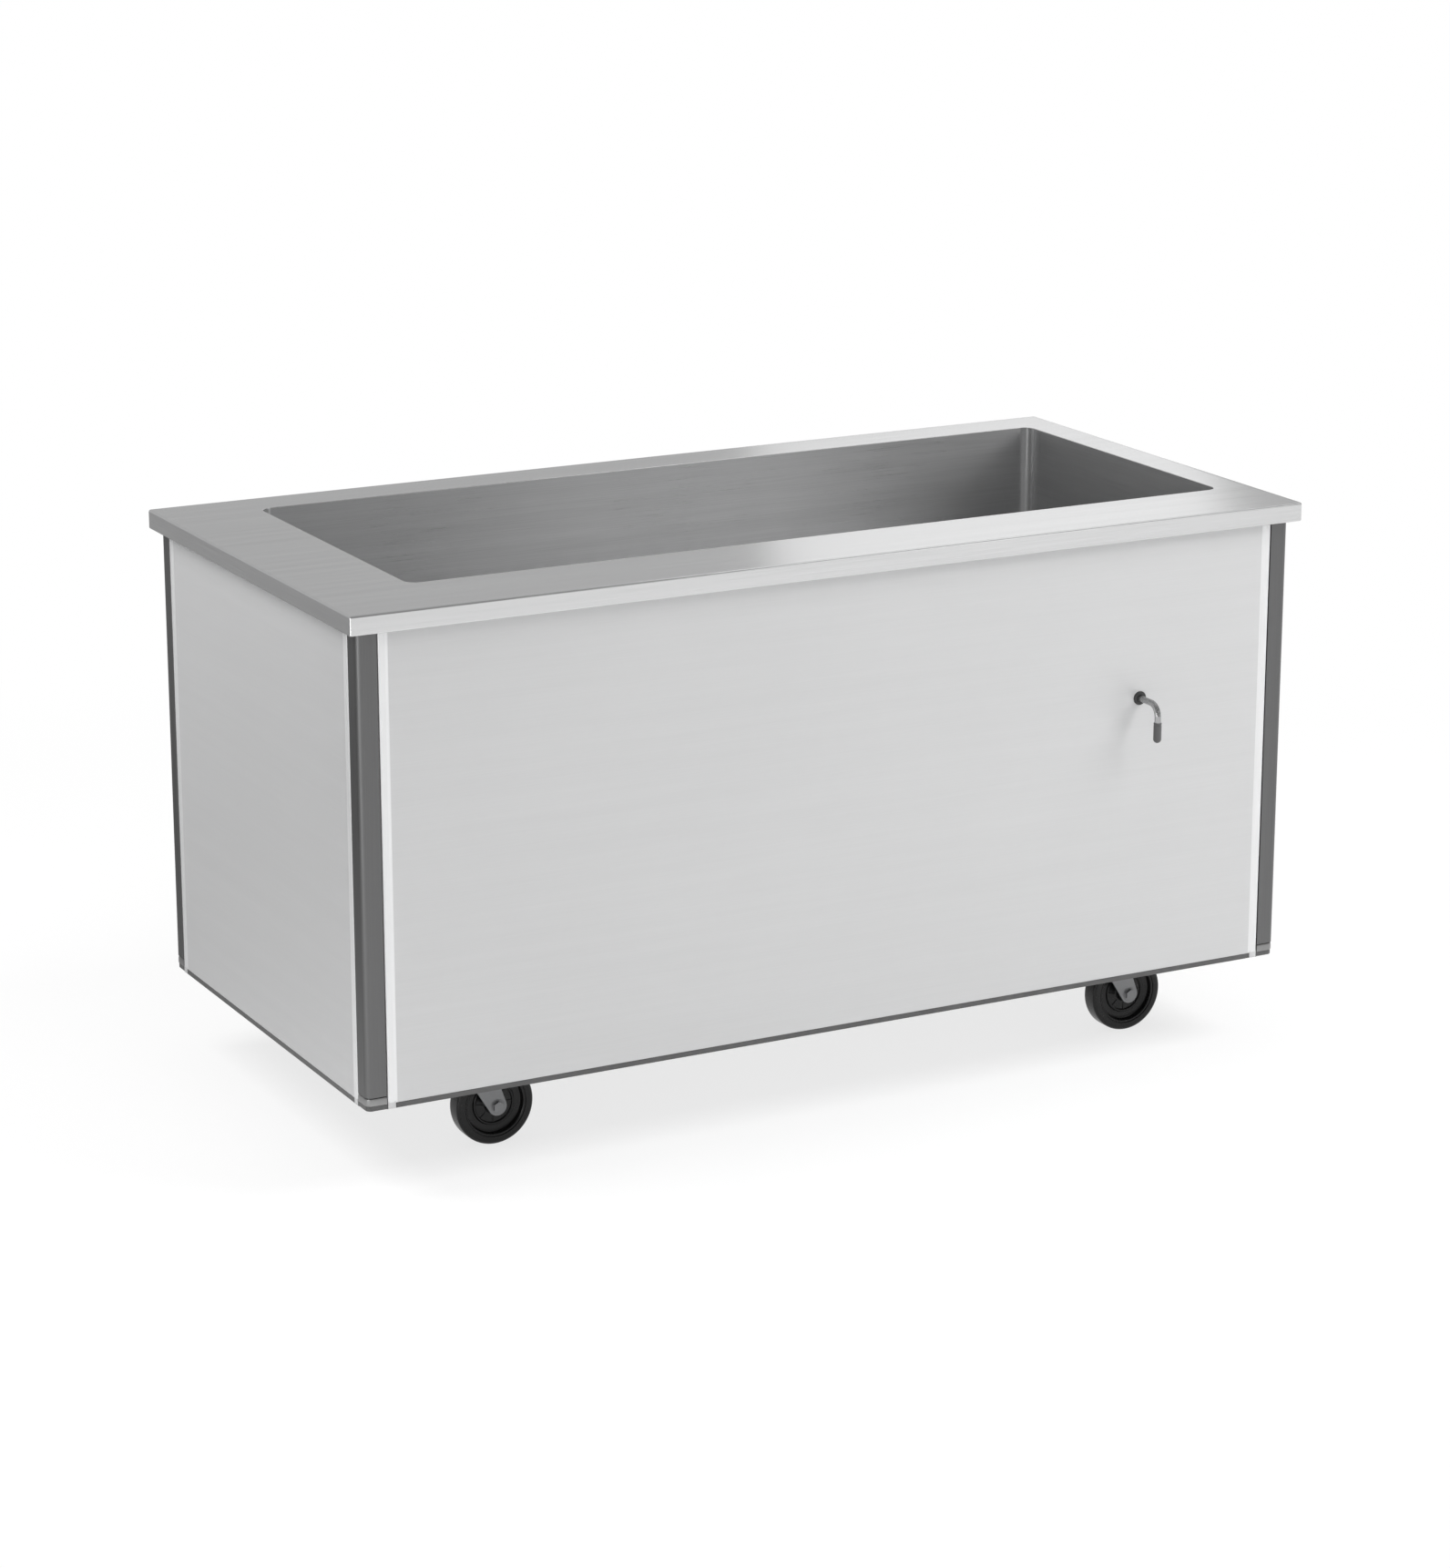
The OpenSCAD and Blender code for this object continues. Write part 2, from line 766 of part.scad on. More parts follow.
// Axle bolt with its head in front and its nut behind
module caster_axle() {
    half = fork_gap / 2 + fork_plate;
    color(zinc) translate([caster_trail, 0, wheel_radius]) {
        rod_y([0, -half, 0], axle_radius, 2 * half + 8);
        translate([0, -half, 0]) rotate([90, 0, 0]) cylinder(r = 9.2, h = 5.5, $fn = 6);
        translate([0, half + 7, 0]) rotate([90, 0, 0]) cylinder(r = 9.2, h = 7, $fn = 6);
    }
}

// Half section of the wheel: tread with round shoulders, rim, dished web with a ring, and hub
module wheel_half_section() {
    half = wheel_width / 2;
    shoulder = 6;
    union() {
        translate([axle_radius + running, 0]) square([14 - axle_radius, hub_width / 2]);
        translate([10, 0]) square([40, 6]);
        translate([30, 0]) square([4, 9]);
        translate([46, 0]) square([wheel_radius - 46 - shoulder, half - 1]);
        translate([wheel_radius - shoulder - 7, 0]) square([7, half]);
        translate([wheel_radius - shoulder - 1, 0]) square([shoulder + 1, half - shoulder]);
        translate([wheel_radius - shoulder, half - shoulder]) intersection() {
            circle(shoulder);
            square(shoulder);
        }
    }
}

module caster_wheel() {
    color(black) translate([caster_trail, 0, wheel_radius]) rotate([90, 0, 0])
        rotate_extrude($fn = 96) {
            wheel_half_section();
            mirror([0, 1]) wheel_half_section();
        }
}

// Foot pedal on its pin, with a cam whose tip stops just short of the tread when the pedal is down
module brake_pedal() {
    width = fork_gap - 2;
    pin_half = fork_gap / 2 + fork_plate;
    to_wheel = brake_pivot - [caster_trail, wheel_radius];
    cam_reach = norm(to_wheel) - wheel_radius - 2.6;
    cam_tilt = atan2(to_wheel[0], to_wheel[1]) - brake_travel;
    color(zinc) translate([brake_pivot[0], 0, brake_pivot[1]]) {
        rod_y([0, -pin_half, 0], 3, 2 * pin_half);
        rod_y([0, -width / 2, 0], 5, width);
        rotate([0, cam_tilt, 0]) {
            block([-2, -12, -cam_reach], [2, 12, 0]);
            rod_y([0, -12, -cam_reach], 2, 24);
        }
        rotate([0, -brake_slope, 0]) block([3, -width / 2, -1.5], [38, width / 2, 1.5]);
    }
}

module at_caster(right, back) {
    translate([right ? caster_x : -caster_x, back ? caster_back_y : caster_front_y, 0]) children();
}

module caster_plate_front_left() { at_caster(false, false) caster_plate(); }
module caster_plate_front_right() { at_caster(true, false) caster_plate(); }
module caster_plate_back_left() { at_caster(false, true) caster_plate(); }
module caster_plate_back_right() { at_caster(true, true) caster_plate(); }
module caster_fork_front_left() { at_caster(false, false) caster_fork(false); }
module caster_fork_front_right() { at_caster(true, false) caster_fork(false); }
module caster_fork_back_left() { at_caster(false, true) caster_fork(true); }
module caster_fork_back_right() { at_caster(true, true) caster_fork(true); }
module caster_axle_front_left() { at_caster(false, false) caster_axle(); }
module caster_axle_front_right() { at_caster(true, false) caster_axle(); }
module caster_axle_back_left() { at_caster(false, true) caster_axle(); }
module caster_axle_back_right() { at_caster(true, true) caster_axle(); }
module caster_wheel_front_left() { at_caster(false, false) caster_wheel(); }
module caster_wheel_front_right() { at_caster(true, false) caster_wheel(); }
module caster_wheel_back_left() { at_caster(false, true) caster_wheel(); }
module caster_wheel_back_right() { at_caster(true, true) caster_wheel(); }
module brake_pedal_back_left() { at_caster(false, true) brake_pedal(); }
module brake_pedal_back_right() { at_caster(true, true) brake_pedal(); }

top_deck();
pan_liner();
pan_insulation();
pan_jacket();
pan_saddles();
deck_brace();
false_bottom_left();
false_bottom_middle();
false_bottom_right();
drain_flange();
drain_strainer();
drain_locknut();
union_nut();
valve_body();
valve_seats();
valve_ball();
valve_stem();
packing_nut();
stem_coupling();
handle_shaft();
drain_handle();
handle_grip();
panel_bushing();
outlet_pipe();
front_panel();
back_panel();
left_panel();
right_panel();
corner_post_front_left();
corner_post_front_right();
corner_post_back_left();
corner_post_back_right();
corner_feet();
top_rails();
base_rail_front();
base_rail_back();
base_rail_left();
base_rail_right();
base_floor();
caster_channel_front();
caster_channel_back();
caster_bolts();
caster_plate_front_left();
caster_plate_front_right();
caster_plate_back_left();
caster_plate_back_right();
caster_fork_front_left();
caster_fork_front_right();
caster_fork_back_left();
caster_fork_back_right();
caster_axle_front_left();
caster_axle_front_right();
caster_axle_back_left();
caster_axle_back_right();
caster_wheel_front_left();
caster_wheel_front_right();
caster_wheel_back_left();
caster_wheel_back_right();
brake_pedal_back_left();
brake_pedal_back_right();
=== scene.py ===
import json
import math

import bmesh
import bpy
from mathutils import Matrix, Vector


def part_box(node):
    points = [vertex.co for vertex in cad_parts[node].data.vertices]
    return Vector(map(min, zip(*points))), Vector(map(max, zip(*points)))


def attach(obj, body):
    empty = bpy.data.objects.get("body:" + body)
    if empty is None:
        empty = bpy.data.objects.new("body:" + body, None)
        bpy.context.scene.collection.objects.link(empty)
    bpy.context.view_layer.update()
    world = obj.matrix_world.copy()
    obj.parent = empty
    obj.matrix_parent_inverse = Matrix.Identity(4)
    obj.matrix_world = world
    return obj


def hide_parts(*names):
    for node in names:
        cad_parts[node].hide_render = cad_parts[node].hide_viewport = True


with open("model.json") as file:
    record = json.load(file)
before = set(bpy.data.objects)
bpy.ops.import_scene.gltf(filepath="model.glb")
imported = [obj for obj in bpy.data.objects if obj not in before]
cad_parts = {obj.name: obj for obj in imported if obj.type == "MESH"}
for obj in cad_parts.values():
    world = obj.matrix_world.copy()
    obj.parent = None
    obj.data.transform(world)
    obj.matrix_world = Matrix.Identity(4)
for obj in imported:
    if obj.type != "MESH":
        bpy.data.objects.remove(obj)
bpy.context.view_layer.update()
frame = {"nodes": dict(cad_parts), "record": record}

scene = bpy.context.scene
CORNERS = ("front_left", "front_right", "back_left", "back_right")
SIDES = ("front", "back", "left", "right")
MM = 0.001
TURN = 2 * math.pi
WELD_DISTANCE = 0.00001


# Mesh helpers. Meshes are made in millimetres, and put_piece turns them into metres.

def loft(mesh, rings, around=True, along=False):
    """Faces between rings of points. around closes each ring, and along joins the last ring to the first."""
    rows = [[mesh.verts.new(point) for point in ring] for ring in rings]
    pairs = list(zip(rows, rows[1:]))
    if along:
        pairs.append((rows[-1], rows[0]))
    count = len(rows[0])
    for first, second in pairs:
        for i in range(count if around else count - 1):
            j = (i + 1) % count
            mesh.faces.new((first[i], first[j], second[j], second[i]))
    return rows


def lathe(mesh, profile, steps, closed=True, place=Matrix.Identity(4)):
    """Turns a profile of (radius, height) about the Z axis, then moves it by place.

    A closed profile has its last point joined to its first.
    """
    rings = []
    for radius, height in profile:
        ring = []
        for i in range(steps):
            angle = TURN * i / steps
            ring.append(place @ Vector((radius * math.cos(angle), radius * math.sin(angle), height)))
        rings.append(ring)
    loft(mesh, rings, along=closed)


def prism(mesh, outline, low, high, place=Matrix.Identity(4)):
    """Closed block between two heights on an outline of (x, y)."""
    rings = [[place @ Vector((x, y, z)) for x, y in outline] for z in (low, high)]
    rows = loft(mesh, rings)
    mesh.faces.new(rows[0])
    mesh.faces.new(rows[1])


def arc(centre, radius, start, end, steps):
    """Points on an arc of (x, y), from one angle to another in degrees."""
    points = []
    for i in range(steps + 1):
        angle = math.radians(start + (end - start) * i / steps)
        points.append((centre[0] + radius * math.cos(angle), centre[1] + radius * math.sin(angle)))
    return points


def quarter_turn(steps):
    """Angles from 0 to a right angle, with both ends."""
    return [math.pi / 2 * i / steps for i in range(steps + 1)]


def quarter_round(radius, steps):
    """Points of a round corner, from (0, radius) to (radius, 0)."""
    return [(radius * (1 - math.cos(a)), radius * (1 - math.sin(a))) for a in quarter_turn(steps)]


def rounded_ring(low, high, radius, z):
    """Points round a rectangle with round corners, in the same number whatever its size."""
    corner_steps = 8
    x_steps = 40
    y_steps = 20
    x0, y0 = low
    x1, y1 = high
    centres = (
        (x1 - radius, y0 + radius), (x1 - radius, y1 - radius),
        (x0 + radius, y1 - radius), (x0 + radius, y0 + radius),
    )
    points = []
    for k, centre in enumerate(centres):
        here = arc(centre, radius, 90 * k - 90, 90 * k, corner_steps)
        following = arc(centres[(k + 1) % 4], radius, 90 * k, 90 * k + 90, corner_steps)
        points += here
        steps = x_steps if k % 2 else y_steps
        for i in range(1, steps):
            share = i / steps
            points.append((
                here[-1][0] + (following[0][0] - here[-1][0]) * share,
                here[-1][1] + (following[0][1] - here[-1][1]) * share,
            ))
    return [Vector((x, y, z)) for x, y in points]


def between(first, second, share):
    """Ring that lies a share of the way from one ring to another."""
    return [a.lerp(b, share) for a, b in zip(first, second)]


def sweep(mesh, path, radius, steps):
    """Round bar along a path in one YZ plane, closed at both ends."""
    rings = []
    for i, point in enumerate(path):
        before = path[max(i - 1, 0)]
        after = path[min(i + 1, len(path) - 1)]
        forward = (after - before).normalized()
        side = Vector((1, 0, 0))
        up = side.cross(forward)
        rings.append([
            point + radius * (math.cos(TURN * k / steps) * side + math.sin(TURN * k / steps) * up)
            for k in range(steps)
        ])
    rows = loft(mesh, rings)
    mesh.faces.new(rows[0])
    mesh.faces.new(rows[-1])


def hexagon_head(mesh, across, height, place):
    """Hexagon head with the chamfer that turns its corners down, standing on the XY plane."""
    steps = 48
    half = across / 2
    chamfer_start = half * 0.98
    chamfer_top = half * 0.96
    chamfer_slope = math.tan(math.radians(30))
    rings = ([], [], [])
    for i in range(steps):
        angle = TURN * i / steps
        local = (angle + math.pi / 6) % (math.pi / 3) - math.pi / 6
        reach = half / math.cos(local)
        drop = (reach - chamfer_start) * chamfer_slope
        direction = Vector((math.cos(angle), math.sin(angle), 0))
        rings[0].append(place @ (direction * reach))
        rings[1].append(place @ (direction * reach + Vector((0, 0, height - drop))))
        rings[2].append(place @ (direction * chamfer_top + Vector((0, 0, height))))
    rows = loft(mesh, rings)
    mesh.faces.new(rows[0])
    mesh.faces.new(rows[2])


def mark_ends(mesh):
    """Gives the second material to the faces that look mostly along X."""
    least_x = 0.72
    for face in mesh.faces:
        face.normal_update()
        face.material_index = int(abs(face.normal.x) > least_x)


def put_piece(name, mesh, body, slot, material, *nodes, second=None, bevel=0.0, sharp=35, place=None):
    """Makes a piece from a mesh in millimetres, which rides on a body and stands for the CAD nodes named."""
    if place is not None:
        mesh.transform(place)
    mesh.transform(Matrix.Scale(MM, 4))
    bmesh.ops.remove_doubles(mesh, verts=mesh.verts, dist=WELD_DISTANCE)
    bmesh.ops.recalc_face_normals(mesh, faces=mesh.faces)
    data = bpy.data.meshes.new(name)
    mesh.to_mesh(data)
    mesh.free()
    made = bpy.data.objects.new(name, data)
    scene.collection.objects.link(made)
    data.materials.append(material)
    if second is not None:
        data.materials.append(second)
    data.shade_smooth()
    data.set_sharp_from_angle(angle=math.radians(sharp))
    if bevel:
        round_edges(made, bevel)
    even_normals(made)
    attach(made, body)
    if nodes:
        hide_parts(*nodes)
    return made


def round_edges(thing, width):
    """Rounds the sharp edges of a piece over a width in millimetres."""
    bevel = thing.modifiers.new("edges", "BEVEL")
    bevel.width = width * MM
    bevel.segments = 2
    bevel.limit_method = "ANGLE"
    bevel.angle_limit = math.radians(40)
    bevel.harden_normals = False


def even_normals(thing):
    """Lets the large faces of a piece shade flat next to its rounded edges."""
    normals = thing.modifiers.new("normals", "WEIGHTED_NORMAL")
    normals.keep_sharp = True
    normals.weight = 50


def box_mm(node):
    low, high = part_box(node)
    return low / MM, high / MM


# Node helpers, for the materials and for the floor and the world

def feed(tree, value, socket):
    """Links a node's output to a socket, or sets the socket to a plain value."""
    if isinstance(value, bpy.types.NodeSocket):
        tree.links.new(value, socket)
    else:
        socket.default_value = value


def combine(tree, operation, first, second):
    """Output of a Math node that works on two values."""
    node = tree.nodes.new("ShaderNodeMath")
    node.operation = operation
    feed(tree, first, node.inputs[0])
    feed(tree, second, node.inputs[1])
    return node.outputs["Value"]


def map_range(tree, value, start, end, low, high, course="LINEAR"):
    """Turns a value between start and end into one between low and high."""
    node = tree.nodes.new("ShaderNodeMapRange")
    node.interpolation_type = course
    contents = {"Value": value, "From Min": start, "From Max": end, "To Min": low, "To Max": high}
    for socket, content in contents.items():
        feed(tree, content, node.inputs[socket])
    return node.outputs["Result"]


# Materials. Noise scales are in cycles per metre, and depths in metres.

class Shader:
    """A Principled material with short ways to add the nodes that vary over its surface."""

    def __init__(self, name, colour, metallic, roughness):
        self.material = bpy.data.materials.new(name)
        self.material.use_nodes = True
        self.tree = self.material.node_tree
        self.surface = self.tree.nodes["Principled BSDF"]
        self.surface.inputs["Base Color"].default_value = (*colour, 1)
        self.surface.inputs["Metallic"].default_value = metallic
        self.surface.inputs["Roughness"].default_value = roughness
        self.colour = colour
        self.place = self.tree.nodes.new("ShaderNodeTexCoord").outputs["Object"]
        self.bumps = None

    def texture(self, kind, scale):
        """Texture node of a kind, with its own scale along each axis."""
        mapping = self.tree.nodes.new("ShaderNodeMapping")
        mapping.inputs["Scale"].default_value = scale
        self.tree.links.new(self.place, mapping.inputs["Vector"])
        node = self.tree.nodes.new(kind)
        node.inputs["Scale"].default_value = 1.0
        self.tree.links.new(mapping.outputs["Vector"], node.inputs["Vector"])
        return node

    def noise(self, scale, detail=2.0):
        """Noise from 0 to 1, most of it between 0.3 and 0.7."""
        node = self.texture("ShaderNodeTexNoise", scale)
        node.inputs["Detail"].default_value = detail
        return node.outputs["Fac"]

    def spread(self, value, low, high, start=0.3, end=0.7):
        """Turns a value between start and end into one between low and high."""
        return map_range(self.tree, value, start, end, low, high)

    def around(self, noise, swing, middle=1.0):
        """Turns noise into a value that swings to both sides of a middle, by a share of it."""
        return self.spread(noise, middle * (1 - swing), middle * (1 + swing))

    def multiply(self, first, second):
        return combine(self.tree, "MULTIPLY", first, second)

    def shade(self, factor):
        """Multiplies the colour by a factor that varies about 1."""
        node = self.tree.nodes.new("ShaderNodeVectorMath")
        node.operation = "SCALE"
        node.inputs[0].default_value = self.colour
        self.tree.links.new(factor, node.inputs["Scale"])
        self.tree.links.new(node.outputs["Vector"], self.surface.inputs["Base Color"])

    def rough(self, value):
        self.tree.links.new(value, self.surface.inputs["Roughness"])

    def bump(self, height, depth, strength=1.0):
        """Adds relief of a depth, over any relief added before."""
        node = self.tree.nodes.new("ShaderNodeBump")
        node.inputs["Strength"].default_value = strength
        node.inputs["Distance"].default_value = depth
        self.tree.links.new(height, node.inputs["Height"])
        if self.bumps:
            self.tree.links.new(self.bumps, node.inputs["Normal"])
        self.bumps = node.outputs["Normal"]
        self.tree.links.new(self.bumps, self.surface.inputs["Normal"])


def even(scale):
    """Noise scale that is the same along all three axes."""
    return (scale, scale, scale)


def stretched(axis, across, along):
    """Noise scale that has one value along an axis and another across it."""
    return tuple(along if name == axis else across for name in "XYZ")


def brushed(name, grey, metallic, roughness, grain,
            waves=0.0004, streaks=0.035, anisotropy=0.9, relief=0.000008):
    """Brushed sheet: fine grain along one axis, broader streaks, a faint mottle and slow waves."""
    made = Shader(name, (grey, grey * 1.003, grey * 1.008), metallic, roughness)
    fine = made.noise(stretched(grain, across=1400, along=9), detail=3.0)
    broad = made.noise(stretched(grain, across=55, along=1.2), detail=2.0)
    mottle = made.noise(even(3.1), detail=3.0)
    patches = made.multiply(made.around(broad, streaks * 0.6), made.around(mottle, streaks * 0.5))
    made.shade(made.multiply(made.around(fine, streaks), patches))
    made.rough(made.multiply(
        made.around(fine, streaks * 2.2, middle=roughness),
        made.around(mottle, 0.05),
    ))
    made.bump(made.noise(even(2.3), detail=1.0), waves)
    made.bump(fine, relief, strength=0.2)
    made.surface.inputs["Anisotropic"].default_value = anisotropy
    made.surface.inputs["Anisotropic Rotation"].default_value = 0.25
    grain_line = made.tree.nodes.new("ShaderNodeCombineXYZ")
    for axis in "XYZ":
        grain_line.inputs[axis].default_value = 1.0 if axis == grain else 0.02
    made.tree.links.new(grain_line.outputs["Vector"], made.surface.inputs["Tangent"])
    return made.material


def cast(name, grey, metallic, roughness, grain=260, depth=0.00015, tint=(1.0, 1.0, 1.0), gloss=0.5):
    """Plated, cast or moulded surface: an even colour with a fine orange-peel relief and a slow mottle."""
    made = Shader(name, tuple(grey * part for part in tint), metallic, roughness)
    mottle = made.noise(even(24), detail=4.0)
    made.shade(made.around(mottle, 0.1))
    made.rough(made.around(mottle, 0.15, middle=roughness))
    made.bump(made.noise(even(grain), detail=3.0), depth, strength=0.5)
    made.surface.inputs["Specular IOR Level"].default_value = gloss
    return made.material


def spangled(name, grey):
    """Galvanised sheet: crystals of slightly different grey and gloss."""
    made = Shader(name, (grey, grey * 1.01, grey * 1.03), metallic=0.9, roughness=0.42)
    crystals = made.texture("ShaderNodeTexVoronoi", even(70))
    split = made.tree.nodes.new("ShaderNodeSeparateColor")
    made.tree.links.new(crystals.outputs["Color"], split.inputs["Color"])
    made.shade(made.spread(split.outputs["Red"], 0.86, 1.12, start=0.0, end=1.0))
    made.rough(made.spread(split.outputs["Green"], 0.34, 0.52, start=0.0, end=1.0))
    made.bump(made.noise(even(400)), depth=0.00003, strength=0.4)
    return made.material


def foamed(name, colour):
    """Poured foam with open cells."""
    made = Shader(name, colour, metallic=0.0, roughness=0.85)
    made.shade(made.spread(made.noise(even(30), detail=3.0), 0.88, 1.08))
    made.bump(made.noise(even(500), detail=4.0), depth=0.0006, strength=0.8)
    return made.material


# After the name come grey, metallic and roughness and, for brushed metal, the axis of its grain.
PANEL_LOOK = {"waves": 0.0006, "streaks": 0.015, "anisotropy": 0.7}
deck_steel = brushed("deck_steel", 0.71, 1.0, 0.22, "X", streaks=0.045)
deck_end_steel = brushed("deck_end_steel", 0.71, 1.0, 0.22, "Y", streaks=0.045)
liner_steel = brushed("liner_steel", 0.78, 1.0, 0.31, "X", streaks=0.05, relief=0.00001)
# The pan's end walls take a darker grey than the rest of the liner: painted shade.
painted_shade_liner_end_steel = brushed("painted_shade_liner_end_steel", 0.54, 1.0, 0.31, "Y", streaks=0.05, relief=0.00001)
sheet_steel = brushed("false_bottom_steel", 0.48, 1.0, 0.32, "X")
long_panel_steel = brushed("long_panel_steel", 0.70, 0.55, 0.5, "X", **PANEL_LOOK)
short_panel_steel = brushed("short_panel_steel", 0.70, 0.55, 0.5, "Y", **PANEL_LOOK)
# The hem takes a lighter grey than the panel it is folded from, for the light strip along it: painted
# highlight, on top of the light its sloped edge catches.
painted_highlight_hem_steel = brushed("painted_highlight_hem_steel", 0.82, 0.55, 0.42, "Z", waves=0.0, streaks=0.015, anisotropy=0.7)
post_metal = brushed("post_metal", 0.17, 0.9, 0.42, "Z", waves=0.0, streaks=0.05, anisotropy=0.0)
foot_metal = cast("foot_metal", 0.30, 0.8, 0.34)
rail_metal = cast("rail_metal", 0.09, 0.0, 0.40)
zinc = cast("zinc", 0.20, 0.8, 0.34, tint=(1.0, 1.01, 1.03))
rod_metal = brushed("rod_metal", 0.42, 1.0, 0.26, "Z", waves=0.0, streaks=0.06)
brass = cast("brass", 1.0, 1.0, 0.32, tint=(0.70, 0.53, 0.25))
galvanised = spangled("galvanised", 0.50)
foam = foamed("foam", (0.82, 0.74, 0.5))
seat_plastic = cast("seat_plastic", 0.86, 0.0, 0.42)
black_plastic = cast("black_plastic", 0.035, 0.0, 0.45)
grip_vinyl = cast("grip_vinyl", 0.10, 0.0, 0.38)
wheel_black = cast("wheel_black", 0.009, 0.0, 0.28, grain=420, depth=0.00004, gloss=0.3)

# The CAD nodes take these materials by slot.
CAD_MATERIALS = {
    "deck_steel": deck_steel,
    "liner_steel": sheet_steel,
    "panel_steel": long_panel_steel,
    "post_metal": post_metal,
    "rail_metal": rail_metal,
    "galvanised": galvanised,
    "foam": foam,
    "brass": brass,
    "seat_plastic": seat_plastic,
    "bushing_plastic": black_plastic,
    "rod_metal": rod_metal,
    "grip_vinyl": grip_vinyl,
    "zinc": zinc,
    "wheel_black": wheel_black,
}
for part in frame["record"]["subparts"]:
    node = frame["nodes"][part["node"]]
    node.data.materials.clear()
    node.data.materials.append(CAD_MATERIALS[part["material_slot"]])


# Deck and pan, which meet at a rolled rim

DECK_SHEET = 2.0
DECK_EDGE = 4.0
DECK_LIP = 12.0
DECK_CORNER = 1.0
RIM_RADIUS = 0.9
LINER_SHEET = 1.5
COVE = 19.0
FALSE_BOTTOM_GAP = 0.3
SQUARE_CORNER = 0.05
deck_low, deck_high = box_mm("top_deck")
liner_low, liner_high = box_mm("pan_liner")
pan_low = Vector((liner_low.x + LINER_SHEET, liner_low.y + LINER_SHEET))
pan_high = Vector((liner_high.x - LINER_SHEET, liner_high.y - LINER_SHEET))
pan_floor = box_mm("false_bottom_left")[0].z - FALSE_BOTTOM_GAP
deck_top = deck_high.z


def pan_ring(grow, z, radius=None):
    """Ring round the pan opening, grown outwards.

    Its corners keep the cove's centre unless a radius is given.
    """
    out = Vector((grow, grow))
    return rounded_ring(pan_low - out, pan_high + out, COVE + grow if radius is None else radius, z)


def deck_ring(inset, z):
    """Ring round the deck, drawn in from its outer edge."""
    low = Vector((deck_low.x + inset, deck_low.y + inset))
    high = Vector((deck_high.x - inset, deck_high.y - inset))
    return rounded_ring(low, high, max(DECK_EDGE - inset, DECK_CORNER), z)


def make_deck():
    """Top sheet from the pan's rim over the outer edge to the lip under it, and back along its inside."""
    bands = 8
    mesh = bmesh.new()
    rings = [pan_ring(grow, deck_top - drop) for grow, drop in quarter_round(RIM_RADIUS, 5)]
    inner = rings[-1]
    outer = deck_ring(DECK_EDGE, deck_top)
    rings += [between(inner, outer, i / bands) for i in range(1, bands)]
    rings += [deck_ring(inset, deck_top - drop) for drop, inset in quarter_round(DECK_EDGE, 5)]
    rings += [deck_ring(inset, deck_low.z + rise) for inset, rise in quarter_round(DECK_SHEET, 4)]
    rings.append(deck_ring(DECK_LIP, deck_low.z))
    rings.append(deck_ring(DECK_LIP, deck_low.z + DECK_SHEET))
    rings.append(deck_ring(DECK_SHEET, deck_low.z + DECK_SHEET))
    rings.append(deck_ring(DECK_SHEET, deck_top - DECK_SHEET))
    rings.append(pan_ring(RIM_RADIUS + 1, deck_top - DECK_SHEET))
    rings.append(pan_ring(LINER_SHEET, deck_top - RIM_RADIUS))
    loft(mesh, rings, along=True)
    mark_ends(mesh)
    put_piece("deck_top", mesh, "counter", "deck_steel", deck_steel, "top_deck", second=deck_end_steel)


SUMP_RADIUS = 45.0
SUMP_DEPTH = 8.5
SUMP_EDGE = 3.0
DRAIN_HOLE = 17.0
drain = (box_mm("drain_strainer")[0] + box_mm("drain_strainer")[1]) / 2


def circle_like(ring, radius, z):
    """Circle round the drain with one point for each point of a ring, on the same bearing."""
    points = []
    for point in ring:
        away = Vector((point.x - drain.x, point.y - drain.y)).normalized()
        points.append(Vector((drain.x + radius * away.x, drain.y + radius * away.y, z)))
    return points


def make_pan():
    """Liner from its rim down the walls and the cove to the drain's sump, and back along its outside."""
    bands = 6
    mesh = bmesh.new()
    wall_top = deck_top - RIM_RADIUS
    wall_low = pan_floor + COVE
    rings = [pan_ring(0, wall_top + (wall_low - wall_top) * i / bands) for i in range(bands + 1)]
    for inset, rise in quarter_round(COVE, 7)[1:]:
        rings.append(pan_ring(-inset, pan_floor + rise, max(COVE - inset, SQUARE_CORNER)))
    edge = rings[-1]
    brink = circle_like(edge, SUMP_RADIUS + SUMP_EDGE, pan_floor)
    rings += [between(edge, brink, share) for share in (0.1, 0.4, 0.7, 0.9)]
    for drop, out in quarter_round(SUMP_EDGE, 4):
        rings.append(circle_like(edge, SUMP_RADIUS + out, pan_floor - drop))
    sump_floor = pan_floor - SUMP_DEPTH
    for inset, rise in quarter_round(SUMP_EDGE, 4):
        rings.append(circle_like(edge, SUMP_RADIUS - inset, sump_floor + rise))
    under = sump_floor - LINER_SHEET
    rings.append(circle_like(edge, DRAIN_HOLE, sump_floor))
    rings.append(circle_like(edge, DRAIN_HOLE, under))
    rings.append(circle_like(edge, SUMP_RADIUS + LINER_SHEET, under))
    rings.append(circle_like(edge, SUMP_RADIUS + LINER_SHEET, pan_floor - LINER_SHEET))
    rings.append(pan_ring(-COVE, pan_floor - LINER_SHEET, SQUARE_CORNER))
    for turned_in, rise in reversed(quarter_round(COVE + LINER_SHEET, 4)):
        inset = turned_in - LINER_SHEET
        rings.append(pan_ring(-inset, pan_floor - LINER_SHEET + rise, max(COVE - inset, SQUARE_CORNER)))
    rings.append(pan_ring(LINER_SHEET, wall_top))
    loft(mesh, rings, along=True)
    # The faces that look along X, mostly the end walls, take the darker end steel: painted shade.
    mark_ends(mesh)
    put_piece("ice_pan", mesh, "counter", "liner_steel", liner_steel, "pan_liner", second=painted_shade_liner_end_steel)


make_deck()
make_pan()


# Panels: sheets folded back all round, with a hem down each upright edge that runs on over the base rail

